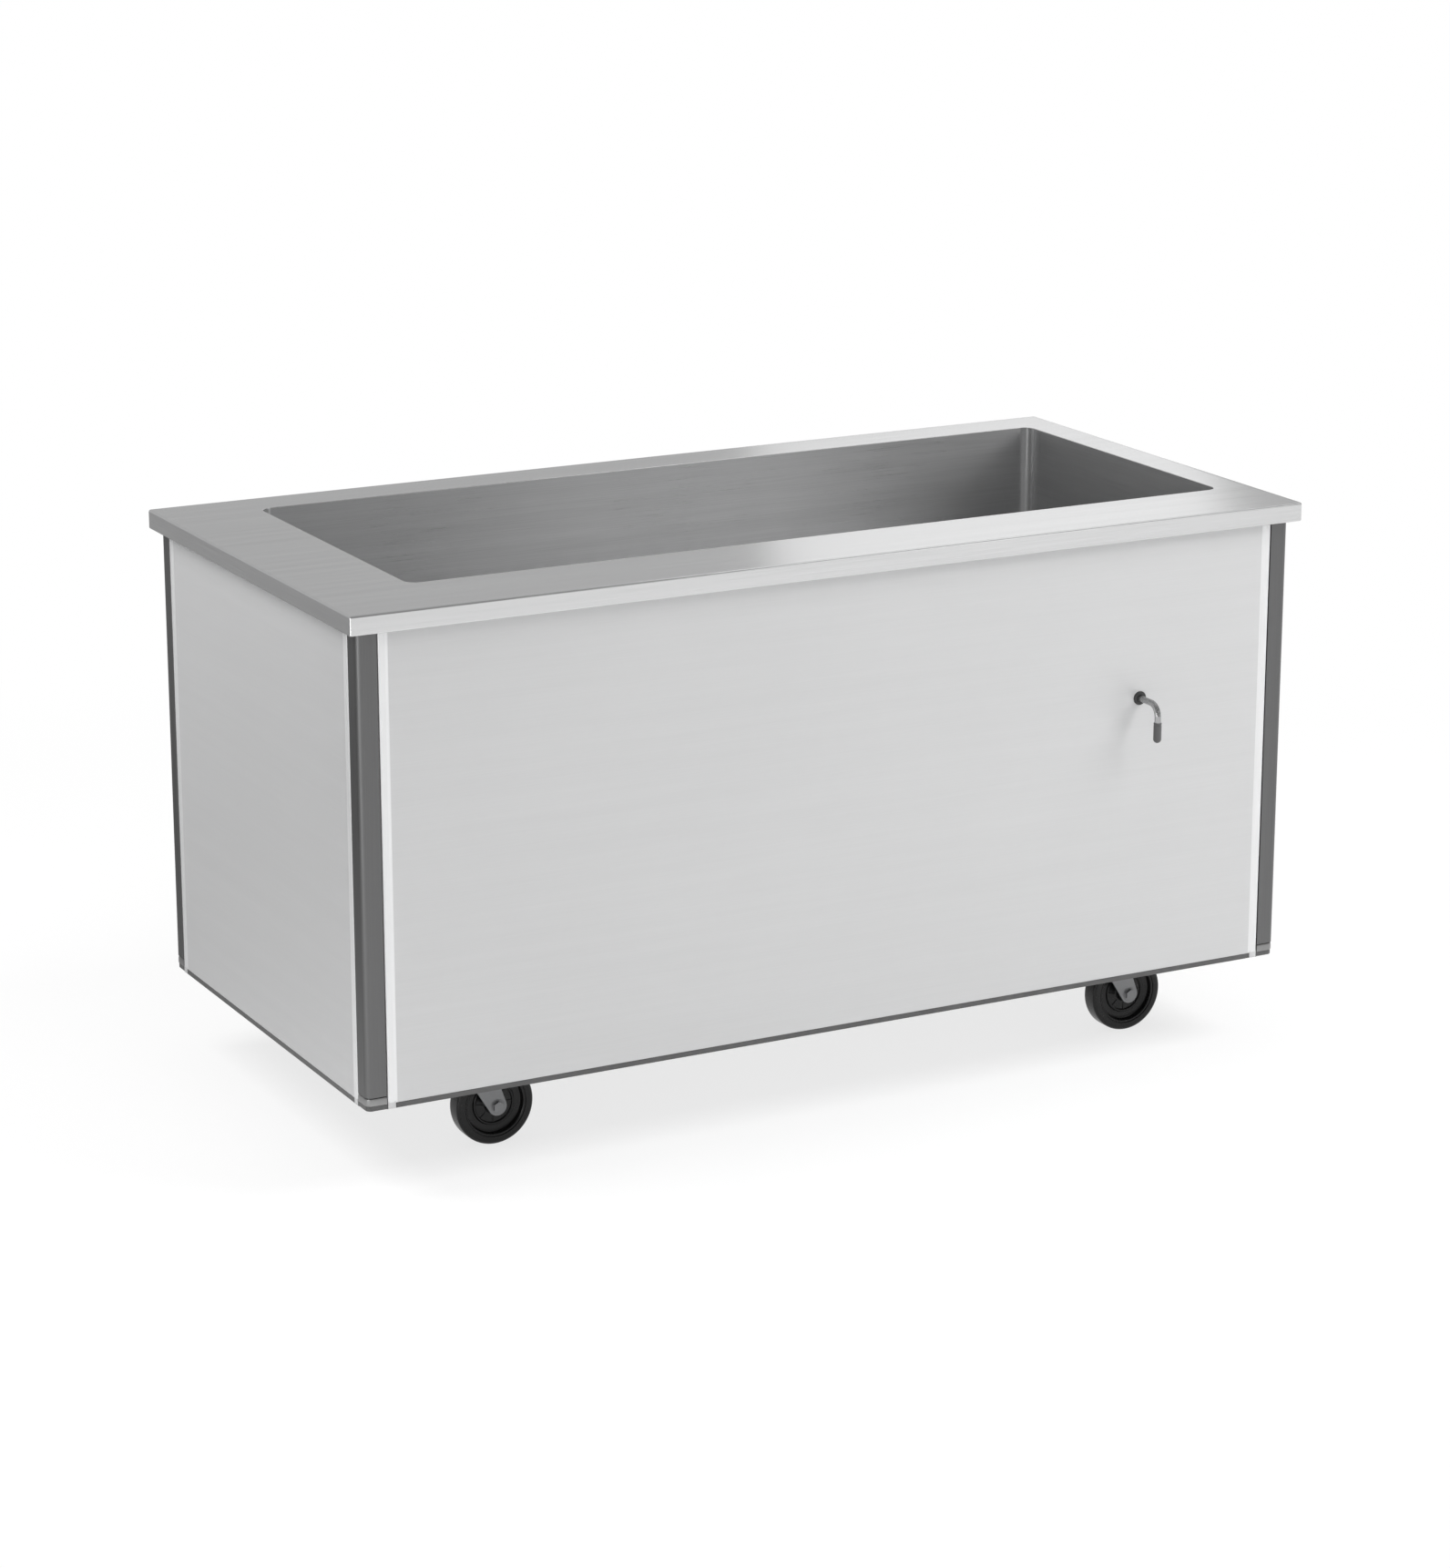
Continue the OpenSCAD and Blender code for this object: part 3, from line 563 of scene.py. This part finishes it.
FOLD = 2.0
RETURN_DEPTH = 12.0
PANEL_SHEET = 1.2
HEM_STEP = 0.8
HEM_EDGE = (
    (9.4, 0.0), (10.2, 0.04), (11.0, 0.15), (11.9, 0.33), (12.9, 0.53), (13.8, 0.70), (14.6, 0.78),
    (15.4, HEM_STEP),
)
HEM_WIDTH = HEM_EDGE[-1][0]
TAIL_LENGTH = 7.5
TAIL_WIDTH = 12.0
TAIL_INSET = 0.4
TAIL_FRONT = 0.05
TAIL_BACK = 0.95
TAIL_LAP = 3.0
front_low, front_high = box_mm("front_panel")
left_low, left_high = box_mm("left_panel")
back_high = box_mm("back_panel")[1]
right_low, right_high = box_mm("right_panel")
long_width = front_high.x - front_low.x
short_width = left_high.y - left_low.y
panel_height = front_high.z - front_low.z


def folded_edge():
    """Edge of a panel from the end of its return round the fold, as (distance along the face, depth)."""
    fold = [(along, depth) for depth, along in reversed(quarter_round(FOLD, 4))]
    return [(0.0, RETURN_DEPTH), (0.0, RETURN_DEPTH / 2)] + fold


def panel_section(width):
    """Outline of the panel's outer face from return to return, as (x, y) with y into the body."""
    columns = 16
    half = folded_edge() + list(HEM_EDGE)
    middle = [(width * i / columns, HEM_STEP) for i in range(1, columns)]
    return half + middle + [(width - x, y) for x, y in reversed(half)]


def panel_rows():
    """Height of each row of points in a panel, with the least depth that it has."""
    bands = 12
    edge = folded_edge()
    middle = [(panel_height * i / bands, 0.0) for i in range(1, bands)]
    return edge + middle + [(panel_height - z, depth) for z, depth in reversed(edge)]


def make_panel(name, node, width, material, place):
    mesh = bmesh.new()
    section = panel_section(width)
    rings = [[Vector((x, max(y, depth), z)) for x, y in section] for z, depth in panel_rows()]
    loft(mesh, rings, around=False)
    # The hem and the folded edges take the lighter hem steel: painted highlight.
    for face in mesh.faces:
        face.material_index = int(not HEM_WIDTH < face.calc_center_median().x < width - HEM_WIDTH)
    for x0 in (TAIL_INSET, width - TAIL_WIDTH - TAIL_INSET):
        x1 = x0 + TAIL_WIDTH
        outline = [(x0, TAIL_FRONT), (x1, TAIL_FRONT), (x1, TAIL_BACK), (x0, TAIL_BACK)]
        prism(mesh, outline, -TAIL_LENGTH, TAIL_LAP)
    made = put_piece(name, mesh, "counter", "panel_steel", material, node, second=painted_highlight_hem_steel, place=place)
    solid = made.modifiers.new("sheet", "SOLIDIFY")
    solid.thickness = PANEL_SHEET * MM
    solid.offset = -1


def turned(x, y, degrees):
    """Matrix from a panel made along X to its place on a side of the body."""
    return Matrix.Translation((x, y, front_low.z)) @ Matrix.Rotation(math.radians(degrees), 4, "Z")


make_panel("front_skin", "front_panel", long_width, long_panel_steel,
           turned(front_low.x, front_low.y, 0))
make_panel("back_skin", "back_panel", long_width, long_panel_steel,
           turned(back_high.x, back_high.y, 180))
make_panel("left_skin", "left_panel", short_width, short_panel_steel,
           turned(left_low.x, left_high.y, -90))
make_panel("right_skin", "right_panel", short_width, short_panel_steel,
           turned(right_high.x, right_low.y, 90))


# Corner posts, the feet that close them, and the dark base line that runs round the corner

POST_WIDTH = 32.0
POST_ROUND = 10.0
POST_WALL = 2.5
POST_GAP = 0.4
FOOT_DROP = 12.5
FOOT_DEPTH = 28.0
TIGHTEST_ROUND = 0.3


def at_corner(corner):
    """Matrix from a corner of the body made at the front left, to the named corner."""
    low, high = box_mm("corner_post_" + corner)
    right = corner.endswith("right")
    back = corner.startswith("back")
    place = Matrix.Translation((high.x if right else low.x, high.y if back else low.y, 0))
    return place @ Matrix.Diagonal((-1 if right else 1, -1 if back else 1, 1, 1))


def foot_low(corner):
    """Height of the foot's underside, where the base line ends."""
    return box_mm("corner_post_" + corner)[0].z - FOOT_DROP


def corner_sweep(profile):
    """Mesh of a closed profile of (inset, height), carried along both legs of a post and round its corner."""
    steps = 12
    mesh = bmesh.new()
    rings = [[Vector((inset, POST_WIDTH, height)) for inset, height in profile]]
    for i in range(steps + 1):
        angle = math.pi + math.pi / 2 * i / steps
        ring = []
        for inset, height in profile:
            radius = max(POST_ROUND - inset, TIGHTEST_ROUND)
            centre = inset + radius
            x = centre + radius * math.cos(angle)
            y = centre + radius * math.sin(angle)
            ring.append(Vector((x, y, height)))
        rings.append(ring)
    rings.append([Vector((POST_WIDTH, inset, height)) for inset, height in profile])
    rows = loft(mesh, rings)
    mesh.faces.new(rows[0])
    mesh.faces.new(rows[-1])
    return mesh


def make_post(corner):
    """Sheet with two flat legs that meet in a round corner."""
    low, high = box_mm("corner_post_" + corner)
    mesh = bmesh.new()
    middle = (POST_ROUND, POST_ROUND)
    outline = [(0, POST_WIDTH)] + arc(middle, POST_ROUND, 180, 270, 16)
    outline += [(POST_WIDTH, 0), (POST_WIDTH, POST_WALL)]
    outline += arc(middle, POST_ROUND - POST_WALL, 270, 180, 16) + [(POST_WALL, POST_WIDTH)]
    prism(mesh, outline, low.z + POST_GAP, high.z)
    put_piece("post_" + corner, mesh, "counter", "post_metal", post_metal,
              "corner_post_" + corner, bevel=0.5, place=at_corner(corner))


def make_foot(corner):
    """Cast foot with soft edges that closes the lower end of the post."""
    low = foot_low(corner)
    foot = corner_sweep([
        (FOOT_DEPTH, low), (2.0, low), (0.6, low + 0.5), (0.1, low + 1.8), (0.0, low + 5.0),
        (0.2, low + 9.5), (0.8, low + 11.4), (2.2, low + 12.3), (FOOT_DEPTH, low + 12.4),
    ])
    put_piece("foot_" + corner, foot, "counter", "post_metal", foot_metal,
              "corner_feet", place=at_corner(corner))


def make_base_corner(corner):
    """Dark base line below the foot, from one base rail round to the next."""
    low = box_mm("corner_feet")[0].z
    high = foot_low(corner)
    base = corner_sweep([
        (FOOT_DEPTH, low), (2.0, low), (1.2, low + 0.6), (1.0, low + 1.6), (1.0, high), (FOOT_DEPTH, high),
    ])
    put_piece("base_corner_" + corner, base, "counter", "rail_metal", rail_metal,
              "corner_feet", place=at_corner(corner))


for corner in CORNERS:
    make_post(corner)
    make_foot(corner)
    make_base_corner(corner)


# Casters, made about their swivel axis with the wheel trailing along X

AXLE_TRAIL = 38.0
WHEEL_RADIUS = 63.5
FORK_GAP = 39.0
FORK_PLATE = 4.0
FORK_OUTER = FORK_GAP / 2 + FORK_PLATE
FORK_BACK = -24.0
FORK_FRONT = 28.0
FORK_TOP = 136.0
FORK_END_RADIUS = 15.0
CROWN_LOW = 137.7
CROWN_TOP = 145.7
CROWN_BEND = 6.0
CROWN_SKIRT = 135.0
BRAKE_PIVOT = (86.5, 118.5)
BRAKE_ARM_RADIUS = 7.0
BRAKE_ARM_STEP = 0.25
BOLT_ACROSS = 16.0
FACE_ALONG_Y = Matrix.Rotation(math.radians(90), 4, "X")
FACE_AGAINST_Y = Matrix.Rotation(math.radians(-90), 4, "X")
FACE_ALONG_X = Matrix(((0, 0, 1, 0), (1, 0, 0, 0), (0, 1, 0, 0), (0, 0, 0, 1)))


def swivel_axis(corner):
    low, high = box_mm("caster_plate_" + corner)
    return Matrix.Translation(((low.x + high.x) / 2, (low.y + high.y) / 2, 0))


def wheel_profile():
    """Closed profile of (radius, height) about the wheel's middle: bore, hub, web, rim and tread."""
    half = [
        (5.1, 19.2), (9.4, 19.2), (9.7, 18.9), (10.2, 18.9), (13.0, 18.4), (14.0, 17.2), (14.6, 11.0),
        (16.0, 8.0), (19.0, 6.4), (27.5, 6.0), (29.6, 6.5), (30.4, 8.4), (31.2, 9.0), (33.0, 9.0),
        (33.8, 8.4), (34.8, 6.4), (37.5, 6.0), (42.5, 6.2), (45.0, 7.4), (46.2, 10.5), (46.8, 14.2),
        (47.6, 15.0), (49.6, 15.0), (49.9, 14.4), (50.6, 14.4), (51.0, 15.6), (52.0, 16.0), (57.5, 16.0),
    ]
    half += arc((57.5, 10.0), 6.0, 90, 12, 8)
    half += [(WHEEL_RADIUS - 0.06, 6.0), (WHEEL_RADIUS, 2.0)]
    return half + [(radius, -height) for radius, height in reversed(half)]


def make_wheel(corner):
    """Wheel with eight ribs on each side of its web."""
    ribs = 8
    rib_outline = [(15.5, -1.1), (30.0, -0.9), (30.0, 0.9), (15.5, 1.1)]
    mesh = bmesh.new()
    lathe(mesh, wheel_profile(), steps=96)
    for i in range(ribs):
        turn = Matrix.Rotation(TURN * i / ribs, 4, "Z")
        for low, high in ((5.0, 7.4), (-7.4, -5.0)):
            prism(mesh, rib_outline, low, high, turn)
    place = swivel_axis(corner) @ Matrix.Translation((AXLE_TRAIL, 0, WHEEL_RADIUS)) @ FACE_ALONG_Y
    put_piece("wheel_tread_" + corner, mesh, "wheel_" + corner, "wheel_black", wheel_black,
              "caster_wheel_" + corner, place=place, sharp=30)


def tangent_outline(corner_low, corner_high, centre, radius, steps=20):
    """Outline of a plate with a straight top edge and a round lower end.

    The two lines between them touch the circle of the lower end.
    """
    def touch(point, side):
        away = Vector(point) - Vector(centre)
        lean = math.acos(radius / away.length)
        return math.degrees(math.atan2(away.y, away.x)) + side * math.degrees(lean)
    start = touch(corner_low, 1)
    end = touch(corner_high, -1) + 360
    return [corner_high, corner_low] + arc(centre, radius, start, end, steps)


def brake_arm():
    """Outline of the ear that carries the brake pedal, on the forks of the back casters."""
    outline = [(18.0, 134.0), (44.0, 131.0)]
    outline += arc(BRAKE_PIVOT, BRAKE_ARM_RADIUS, 80, -100, 10)
    return outline + [(40.0, 92.0), (30.0, 90.0)]


def crown_section():
    """Section of the folded crown that joins the fork's two plates, as (across, height)."""
    bend_x = FORK_OUTER - CROWN_BEND
    bend_z = CROWN_LOW + FORK_PLATE - CROWN_BEND
    inner_bend = CROWN_BEND - FORK_PLATE
    section = [(-FORK_OUTER, CROWN_SKIRT)]
    section += arc((-bend_x, bend_z), CROWN_BEND, 180, 90, 6)
    section += arc((bend_x, bend_z), CROWN_BEND, 90, 0, 6)
    section += [(FORK_OUTER, CROWN_SKIRT), (FORK_OUTER - FORK_PLATE, CROWN_SKIRT)]
    section += arc((bend_x, bend_z), inner_bend, 0, 90, 4)
    section += arc((-bend_x, bend_z), inner_bend, 90, 180, 4)
    return section + [(-FORK_OUTER + FORK_PLATE, CROWN_SKIRT)]


def make_fork(corner):
    """Two plates with their axle bosses, the crown between them and the cup of the ball race."""
    mesh = bmesh.new()
    plate = tangent_outline((FORK_BACK, FORK_TOP), (FORK_FRONT, FORK_TOP), (AXLE_TRAIL, WHEEL_RADIUS),
                            FORK_END_RADIUS)
    boss = [(5.2, -1.0), (11.5, -1.0), (11.5, 0.0), (10.6, 0.5), (5.2, 0.5)]
    for side in (-1, 1):
        low, high = sorted((side * FORK_GAP / 2, side * FORK_OUTER))
        prism(mesh, plate, -high, -low, FACE_ALONG_Y)
        if corner.startswith("back"):
            prism(mesh, brake_arm(), -high + BRAKE_ARM_STEP, -low - BRAKE_ARM_STEP, FACE_ALONG_Y)
        outwards = Matrix.Rotation(math.radians(-90 * side), 4, "X")
        place = Matrix.Translation((AXLE_TRAIL, side * FORK_OUTER, WHEEL_RADIUS)) @ outwards
        lathe(mesh, boss, steps=40, place=place)
    prism(mesh, crown_section(), FORK_BACK, FORK_FRONT, FACE_ALONG_X)
    cup = [
        (6.2, CROWN_LOW), (28.0, CROWN_LOW), (31.0, CROWN_LOW + 0.5), (32.6, CROWN_LOW + 2.0),
        (33.0, CROWN_LOW + 4.5), (32.6, CROWN_TOP - 1.2), (31.4, CROWN_TOP - 0.4), (29.0, CROWN_TOP - 0.2),
        (28.4, CROWN_TOP - 1.4), (26.6, CROWN_TOP - 1.4), (26.0, CROWN_TOP), (6.2, CROWN_TOP),
    ]
    lathe(mesh, cup, steps=72)
    put_piece("fork_" + corner, mesh, "caster_" + corner, "zinc", zinc,
              "caster_fork_" + corner, bevel=0.7, place=swivel_axis(corner))


def make_axle(corner):
    """Bolt through the fork, with a washer under its head and its nut on the other side."""
    mesh = bmesh.new()
    centre = Matrix.Translation((AXLE_TRAIL, 0, WHEEL_RADIUS))
    head_side = centre @ FACE_ALONG_Y
    nut_side = centre @ FACE_AGAINST_Y
    tip = -FORK_OUTER - 8
    shank_top = FORK_OUTER + 0.6
    shank = [(0.01, tip), (4.4, tip), (5.0, tip + 0.6), (5.0, shank_top), (0.01, shank_top)]
    lathe(mesh, shank, steps=32, closed=False, place=head_side)
    low = FORK_OUTER + 0.5
    top = FORK_OUTER + 2.0
    washer = [(5.05, low), (9.6, low), (9.6, top - 0.4), (9.0, top), (5.05, top)]
    lathe(mesh, washer, steps=40, place=head_side)
    hexagon_head(mesh, BOLT_ACROSS, height=3.5, place=head_side @ Matrix.Translation((0, 0, top)))
    hexagon_head(mesh, BOLT_ACROSS, height=6.0, place=nut_side @ Matrix.Translation((0, 0, low)))
    put_piece("axle_bolt_" + corner, mesh, "caster_" + corner, "zinc", zinc,
              "caster_axle_" + corner, place=swivel_axis(corner))


for corner in CORNERS:
    make_wheel(corner)
    make_fork(corner)
    make_axle(corner)


# Drain handle: a bent rod with a sleeve on its lower end, and the collar that carries it in the panel

HANDLE_BEND = 20.0
ROD_RADIUS = 5.0
GRIP_RADIUS = 6.4
COLLAR_NECK = 8.0
COLLAR_FLANGE = 2.5
handle_low, handle_high = box_mm("drain_handle")
grip_low, grip_high = box_mm("handle_grip")
handle_x = (handle_low.x + handle_high.x) / 2
handle_z = handle_high.z - ROD_RADIUS
handle_y = (grip_low.y + grip_high.y) / 2


def make_rod():
    mesh = bmesh.new()
    path = [Vector((handle_x, handle_high.y, handle_z))]
    centre = Vector((handle_x, handle_y + HANDLE_BEND, handle_z - HANDLE_BEND))
    for angle in quarter_turn(12):
        path.append(centre + HANDLE_BEND * Vector((0, -math.sin(angle), math.cos(angle))))
    path.append(Vector((handle_x, handle_y, grip_low.z + GRIP_RADIUS)))
    sweep(mesh, path, ROD_RADIUS, steps=32)
    put_piece("handle_rod", mesh, "drain_valve", "rod_metal", rod_metal, "drain_handle")


def make_sleeve():
    """Grip with a round lower end, and with a groove and a soft edge at its top."""
    mesh = bmesh.new()
    low = grip_low.z
    top = grip_high.z
    groove = GRIP_RADIUS - 0.5
    profile = [(0.01, low)]
    for angle in quarter_turn(6)[1:]:
        profile.append((GRIP_RADIUS * math.sin(angle), low + GRIP_RADIUS * (1 - math.cos(angle))))
    profile += [
        (GRIP_RADIUS, top - 4.0), (groove, top - 3.6), (groove, top - 2.8), (GRIP_RADIUS, top - 2.4),
        (GRIP_RADIUS, top - 0.8), (GRIP_RADIUS - 0.6, top), (ROD_RADIUS + 0.02, top),
    ]
    lathe(mesh, profile, steps=40, closed=False, place=Matrix.Translation((handle_x, handle_y, 0)))
    put_piece("handle_sleeve", mesh, "drain_valve", "grip_vinyl", grip_vinyl, "handle_grip")


def make_collar():
    """Flanged bush in the front panel, in which the rod turns."""
    low, high = box_mm("panel_bushing")
    mesh = bmesh.new()
    bore = ROD_RADIUS + 0.08
    radius = (high.x - low.x) / 2
    length = high.y - low.y
    place = Matrix.Translation((handle_x, low.y, handle_z)) @ FACE_AGAINST_Y
    profile = [
        (bore, 0.6), (ROD_RADIUS + 0.7, 0.0), (radius - 1.6, 0.0), (radius - 0.5, 0.5), (radius, 1.4),
        (radius, COLLAR_FLANGE), (COLLAR_NECK, COLLAR_FLANGE), (COLLAR_NECK, length), (bore, length),
    ]
    lathe(mesh, profile, steps=48, place=place)
    put_piece("handle_collar", mesh, "counter", "bushing_plastic", black_plastic, "panel_bushing")


make_rod()
make_sleeve()
make_collar()


# CAD nodes that stay in sight, with the millimetres over which their sharp edges are rounded

BASE_RAIL_EDGE = 0.6
ROUNDED = {
    "pan_saddles": 0.4, "deck_brace": 0.5, "false_bottom_left": 0.4, "false_bottom_middle": 0.4,
    "false_bottom_right": 0.4, "drain_flange": 0.5, "drain_strainer": 0.4, "drain_locknut": 0.6,
    "union_nut": 0.8, "valve_body": 0.8, "packing_nut": 0.5, "stem_coupling": 0.5, "handle_shaft": 0.4,
    "outlet_pipe": 0.5, "top_rails": 0.5, "base_floor": 0.3, "caster_channel_front": 0.8,
    "caster_channel_back": 0.8, "caster_bolts": 0.5, "brake_pedal_back_left": 0.6,
    "brake_pedal_back_right": 0.6,
}
for corner in CORNERS:
    ROUNDED["caster_plate_" + corner] = 0.6
for name, width in ROUNDED.items():
    node = frame["nodes"][name]
    weld = node.modifiers.new("weld", "WELD")
    weld.merge_threshold = WELD_DISTANCE
    round_edges(node, width)
    even_normals(node)
for side in SIDES:
    rail = frame["nodes"]["base_rail_" + side]
    rail.data.shade_smooth()
    round_edges(rail, BASE_RAIL_EDGE)
    even_normals(rail)


# Floor, light and camera

WHITE = (1, 1, 1, 1)
PAPER = (0.95, 0.95, 0.95, 1)


class Light:
    """Node tree of the floor or the world, which the camera and the metal see in different ways."""

    def __init__(self, owner):
        owner.use_nodes = True
        self.tree = owner.node_tree
        self.tree.nodes.clear()
        rays = self.tree.nodes.new("ShaderNodeLightPath").outputs
        self.seen = rays["Is Camera Ray"]
        self.mirrored = combine(self.tree, "MAXIMUM", rays["Is Glossy Ray"], rays["Is Transmission Ray"])

    def node(self, kind, **sockets):
        """Adds a node and feeds its sockets, which are named with _ for a space."""
        made = self.tree.nodes.new(kind)
        for name, value in sockets.items():
            feed(self.tree, value, made.inputs[name.replace("_", " ")])
        return made

    def vector(self, operation, *vectors):
        """Number that comes out of an operation on vectors."""
        made = self.tree.nodes.new("ShaderNodeVectorMath")
        made.operation = operation
        for value, socket in zip(vectors, made.inputs):
            feed(self.tree, value, socket)
        return made.outputs["Value"]

    def smooth(self, value, start, end, low, high):
        """Number that goes smoothly from low to high while a value goes from start to end."""
        return map_range(self.tree, value, start, end, low, high, course="SMOOTHSTEP")

    def slope(self, place, direction, start, end, low, high):
        """Number that goes smoothly from low to high along a direction, between two distances."""
        along = self.vector("DOT_PRODUCT", place, Vector(direction).normalized())
        return self.smooth(along, start, end, low, high)

    def mix(self, share, first, second):
        made = self.tree.nodes.new("ShaderNodeMixShader")
        for value, socket in zip((share, first.outputs[0], second.outputs[0]), made.inputs):
            feed(self.tree, value, socket)
        return made

    def finish(self, kind, shader):
        output = self.tree.nodes.new(kind)
        self.tree.links.new(shader.outputs[0], output.inputs["Surface"])


def make_floor():
    """Floor that is white to the camera, and near the counter takes a soft shadow.

    In the metal it is white at the front, falls off to a dark grey behind the counter, and rises a little
    again far out at the back.
    """
    mesh = bmesh.new()
    bmesh.ops.create_grid(mesh, x_segments=2, y_segments=2, size=60.0)
    data = bpy.data.meshes.new("floor")
    mesh.to_mesh(data)
    mesh.free()
    floor = bpy.data.objects.new("floor", data)
    scene.collection.objects.link(floor)
    material = bpy.data.materials.new("floor")
    light = Light(material)
    place = light.tree.nodes.new("ShaderNodeNewGeometry").outputs["Position"]
    paper = light.node("ShaderNodeBsdfDiffuse", Color=PAPER)
    white = light.node("ShaderNodeEmission", Color=WHITE, Strength=1.0)
    near = light.slope(place, (0.3, -0.954, 0), start=-1.4, end=0.5, low=0.16, high=1.0)
    far = light.slope(place, (-0.3, 0.954, 0), start=1.7, end=2.7, low=0.0, high=0.36)
    falloff = combine(light.tree, "MAXIMUM", near, far)
    grey = light.node("ShaderNodeEmission", Color=WHITE, Strength=falloff)
    shown = light.mix(light.mirrored, white, grey)
    cover = light.smooth(light.vector("LENGTH", place), start=0.9, end=2.8, low=0.75, high=1.0)
    direct = combine(light.tree, "MAXIMUM", light.seen, light.mirrored)
    share = combine(light.tree, "MULTIPLY", direct, cover)
    light.finish("ShaderNodeOutputMaterial", light.mix(share, paper, shown))
    data.materials.append(material)


def make_world():
    """White to the camera, and in the metal a grey studio that grows lighter from the front to the back."""
    world = bpy.data.worlds.new("studio")
    scene.world = world
    light = Light(world)
    place = light.tree.nodes.new("ShaderNodeTexCoord").outputs["Generated"]
    white = light.node("ShaderNodeBackground", Color=WHITE, Strength=1.0)
    studio = light.slope(place, (0, 0.9, 0.25), start=-0.7, end=0.85, low=0.28, high=0.54)
    pale = light.node("ShaderNodeBackground", Color=WHITE, Strength=studio)
    fill = light.node("ShaderNodeBackground", Color=WHITE, Strength=0.48)
    lit = light.mix(light.mirrored, fill, pale)
    light.finish("ShaderNodeOutputWorld", light.mix(light.seen, lit, white))


def soft_light(name, place, target, size, power, along, mirrored):
    """Rectangular lamp that looks at a target, with its first side as near as it can be to a direction.

    A mirrored lamp shows only in gloss and metal, and the other lamps only light the surfaces.
    """
    data = bpy.data.lights.new(name, "AREA")
    data.shape = "RECTANGLE"
    data.size, data.size_y = size
    data.energy = power
    lamp = bpy.data.objects.new(name, data)
    scene.collection.objects.link(lamp)
    back = (Vector(place) - Vector(target)).normalized()
    up = back.cross(Vector(along)).normalized()
    turn = Matrix((up.cross(back), up, back)).transposed()
    lamp.location = place
    lamp.rotation_mode = "QUATERNION"
    lamp.rotation_quaternion = turn.to_quaternion()
    lamp.visible_camera = False
    lamp.visible_diffuse = not mirrored
    lamp.visible_glossy = mirrored


CAMERA_PLACE = (-3.102, -5.844, 2.326)
CAMERA_YAW = math.radians(27.84)
CAMERA_PITCH = math.radians(-15.91)


def make_camera():
    """Long lens from the front left, a little above the deck."""
    data = bpy.data.cameras.new("camera")
    data.sensor_fit = "AUTO"
    data.sensor_width = 36.0
    data.lens = 99.5
    data.clip_start = 0.1
    data.clip_end = 200.0
    camera = bpy.data.objects.new("camera", data)
    scene.collection.objects.link(camera)
    camera.location = CAMERA_PLACE
    level = math.cos(CAMERA_PITCH)
    aim = Vector((math.sin(CAMERA_YAW) * level, math.cos(CAMERA_YAW) * level, math.sin(CAMERA_PITCH)))
    camera.rotation_mode = "QUATERNION"
    camera.rotation_quaternion = aim.to_track_quat("-Z", "Y")
    scene.camera = camera


ALONG_X = (1, 0, 0)
ALONG_Y = (0, 1, 0)
ALONG_Z = (0, 0, 1)
KEY_PLACE = (2.85, -2.3, 3.9)
KEY_TARGET = (0.1, 0, 0.6)
make_floor()
make_world()
soft_light("key", KEY_PLACE, KEY_TARGET, (2.5, 2.5),
           power=200, along=ALONG_X, mirrored=False)
soft_light("left_fill", (-2.2, 0.4, 2.7), (-0.8, 0, 0.6), (1.4, 1.4),
           power=57, along=ALONG_Y, mirrored=False)
soft_light("front_strip", KEY_PLACE, KEY_TARGET, (1.7, 8.0),
           power=44, along=ALONG_X, mirrored=True)
soft_light("back_strip", (3.25, 4.0, 3.2), (0.38, -0.3, 0.887), (1.3, 3.0),
           power=8.3, along=ALONG_X, mirrored=True)
soft_light("left_strip", (-3.6, -2.1, 0.8), (-0.8, -0.3, 0.5), (1.5, 1.5),
           power=22, along=ALONG_Z, mirrored=True)
make_camera()
scene.view_settings.view_transform = "Standard"
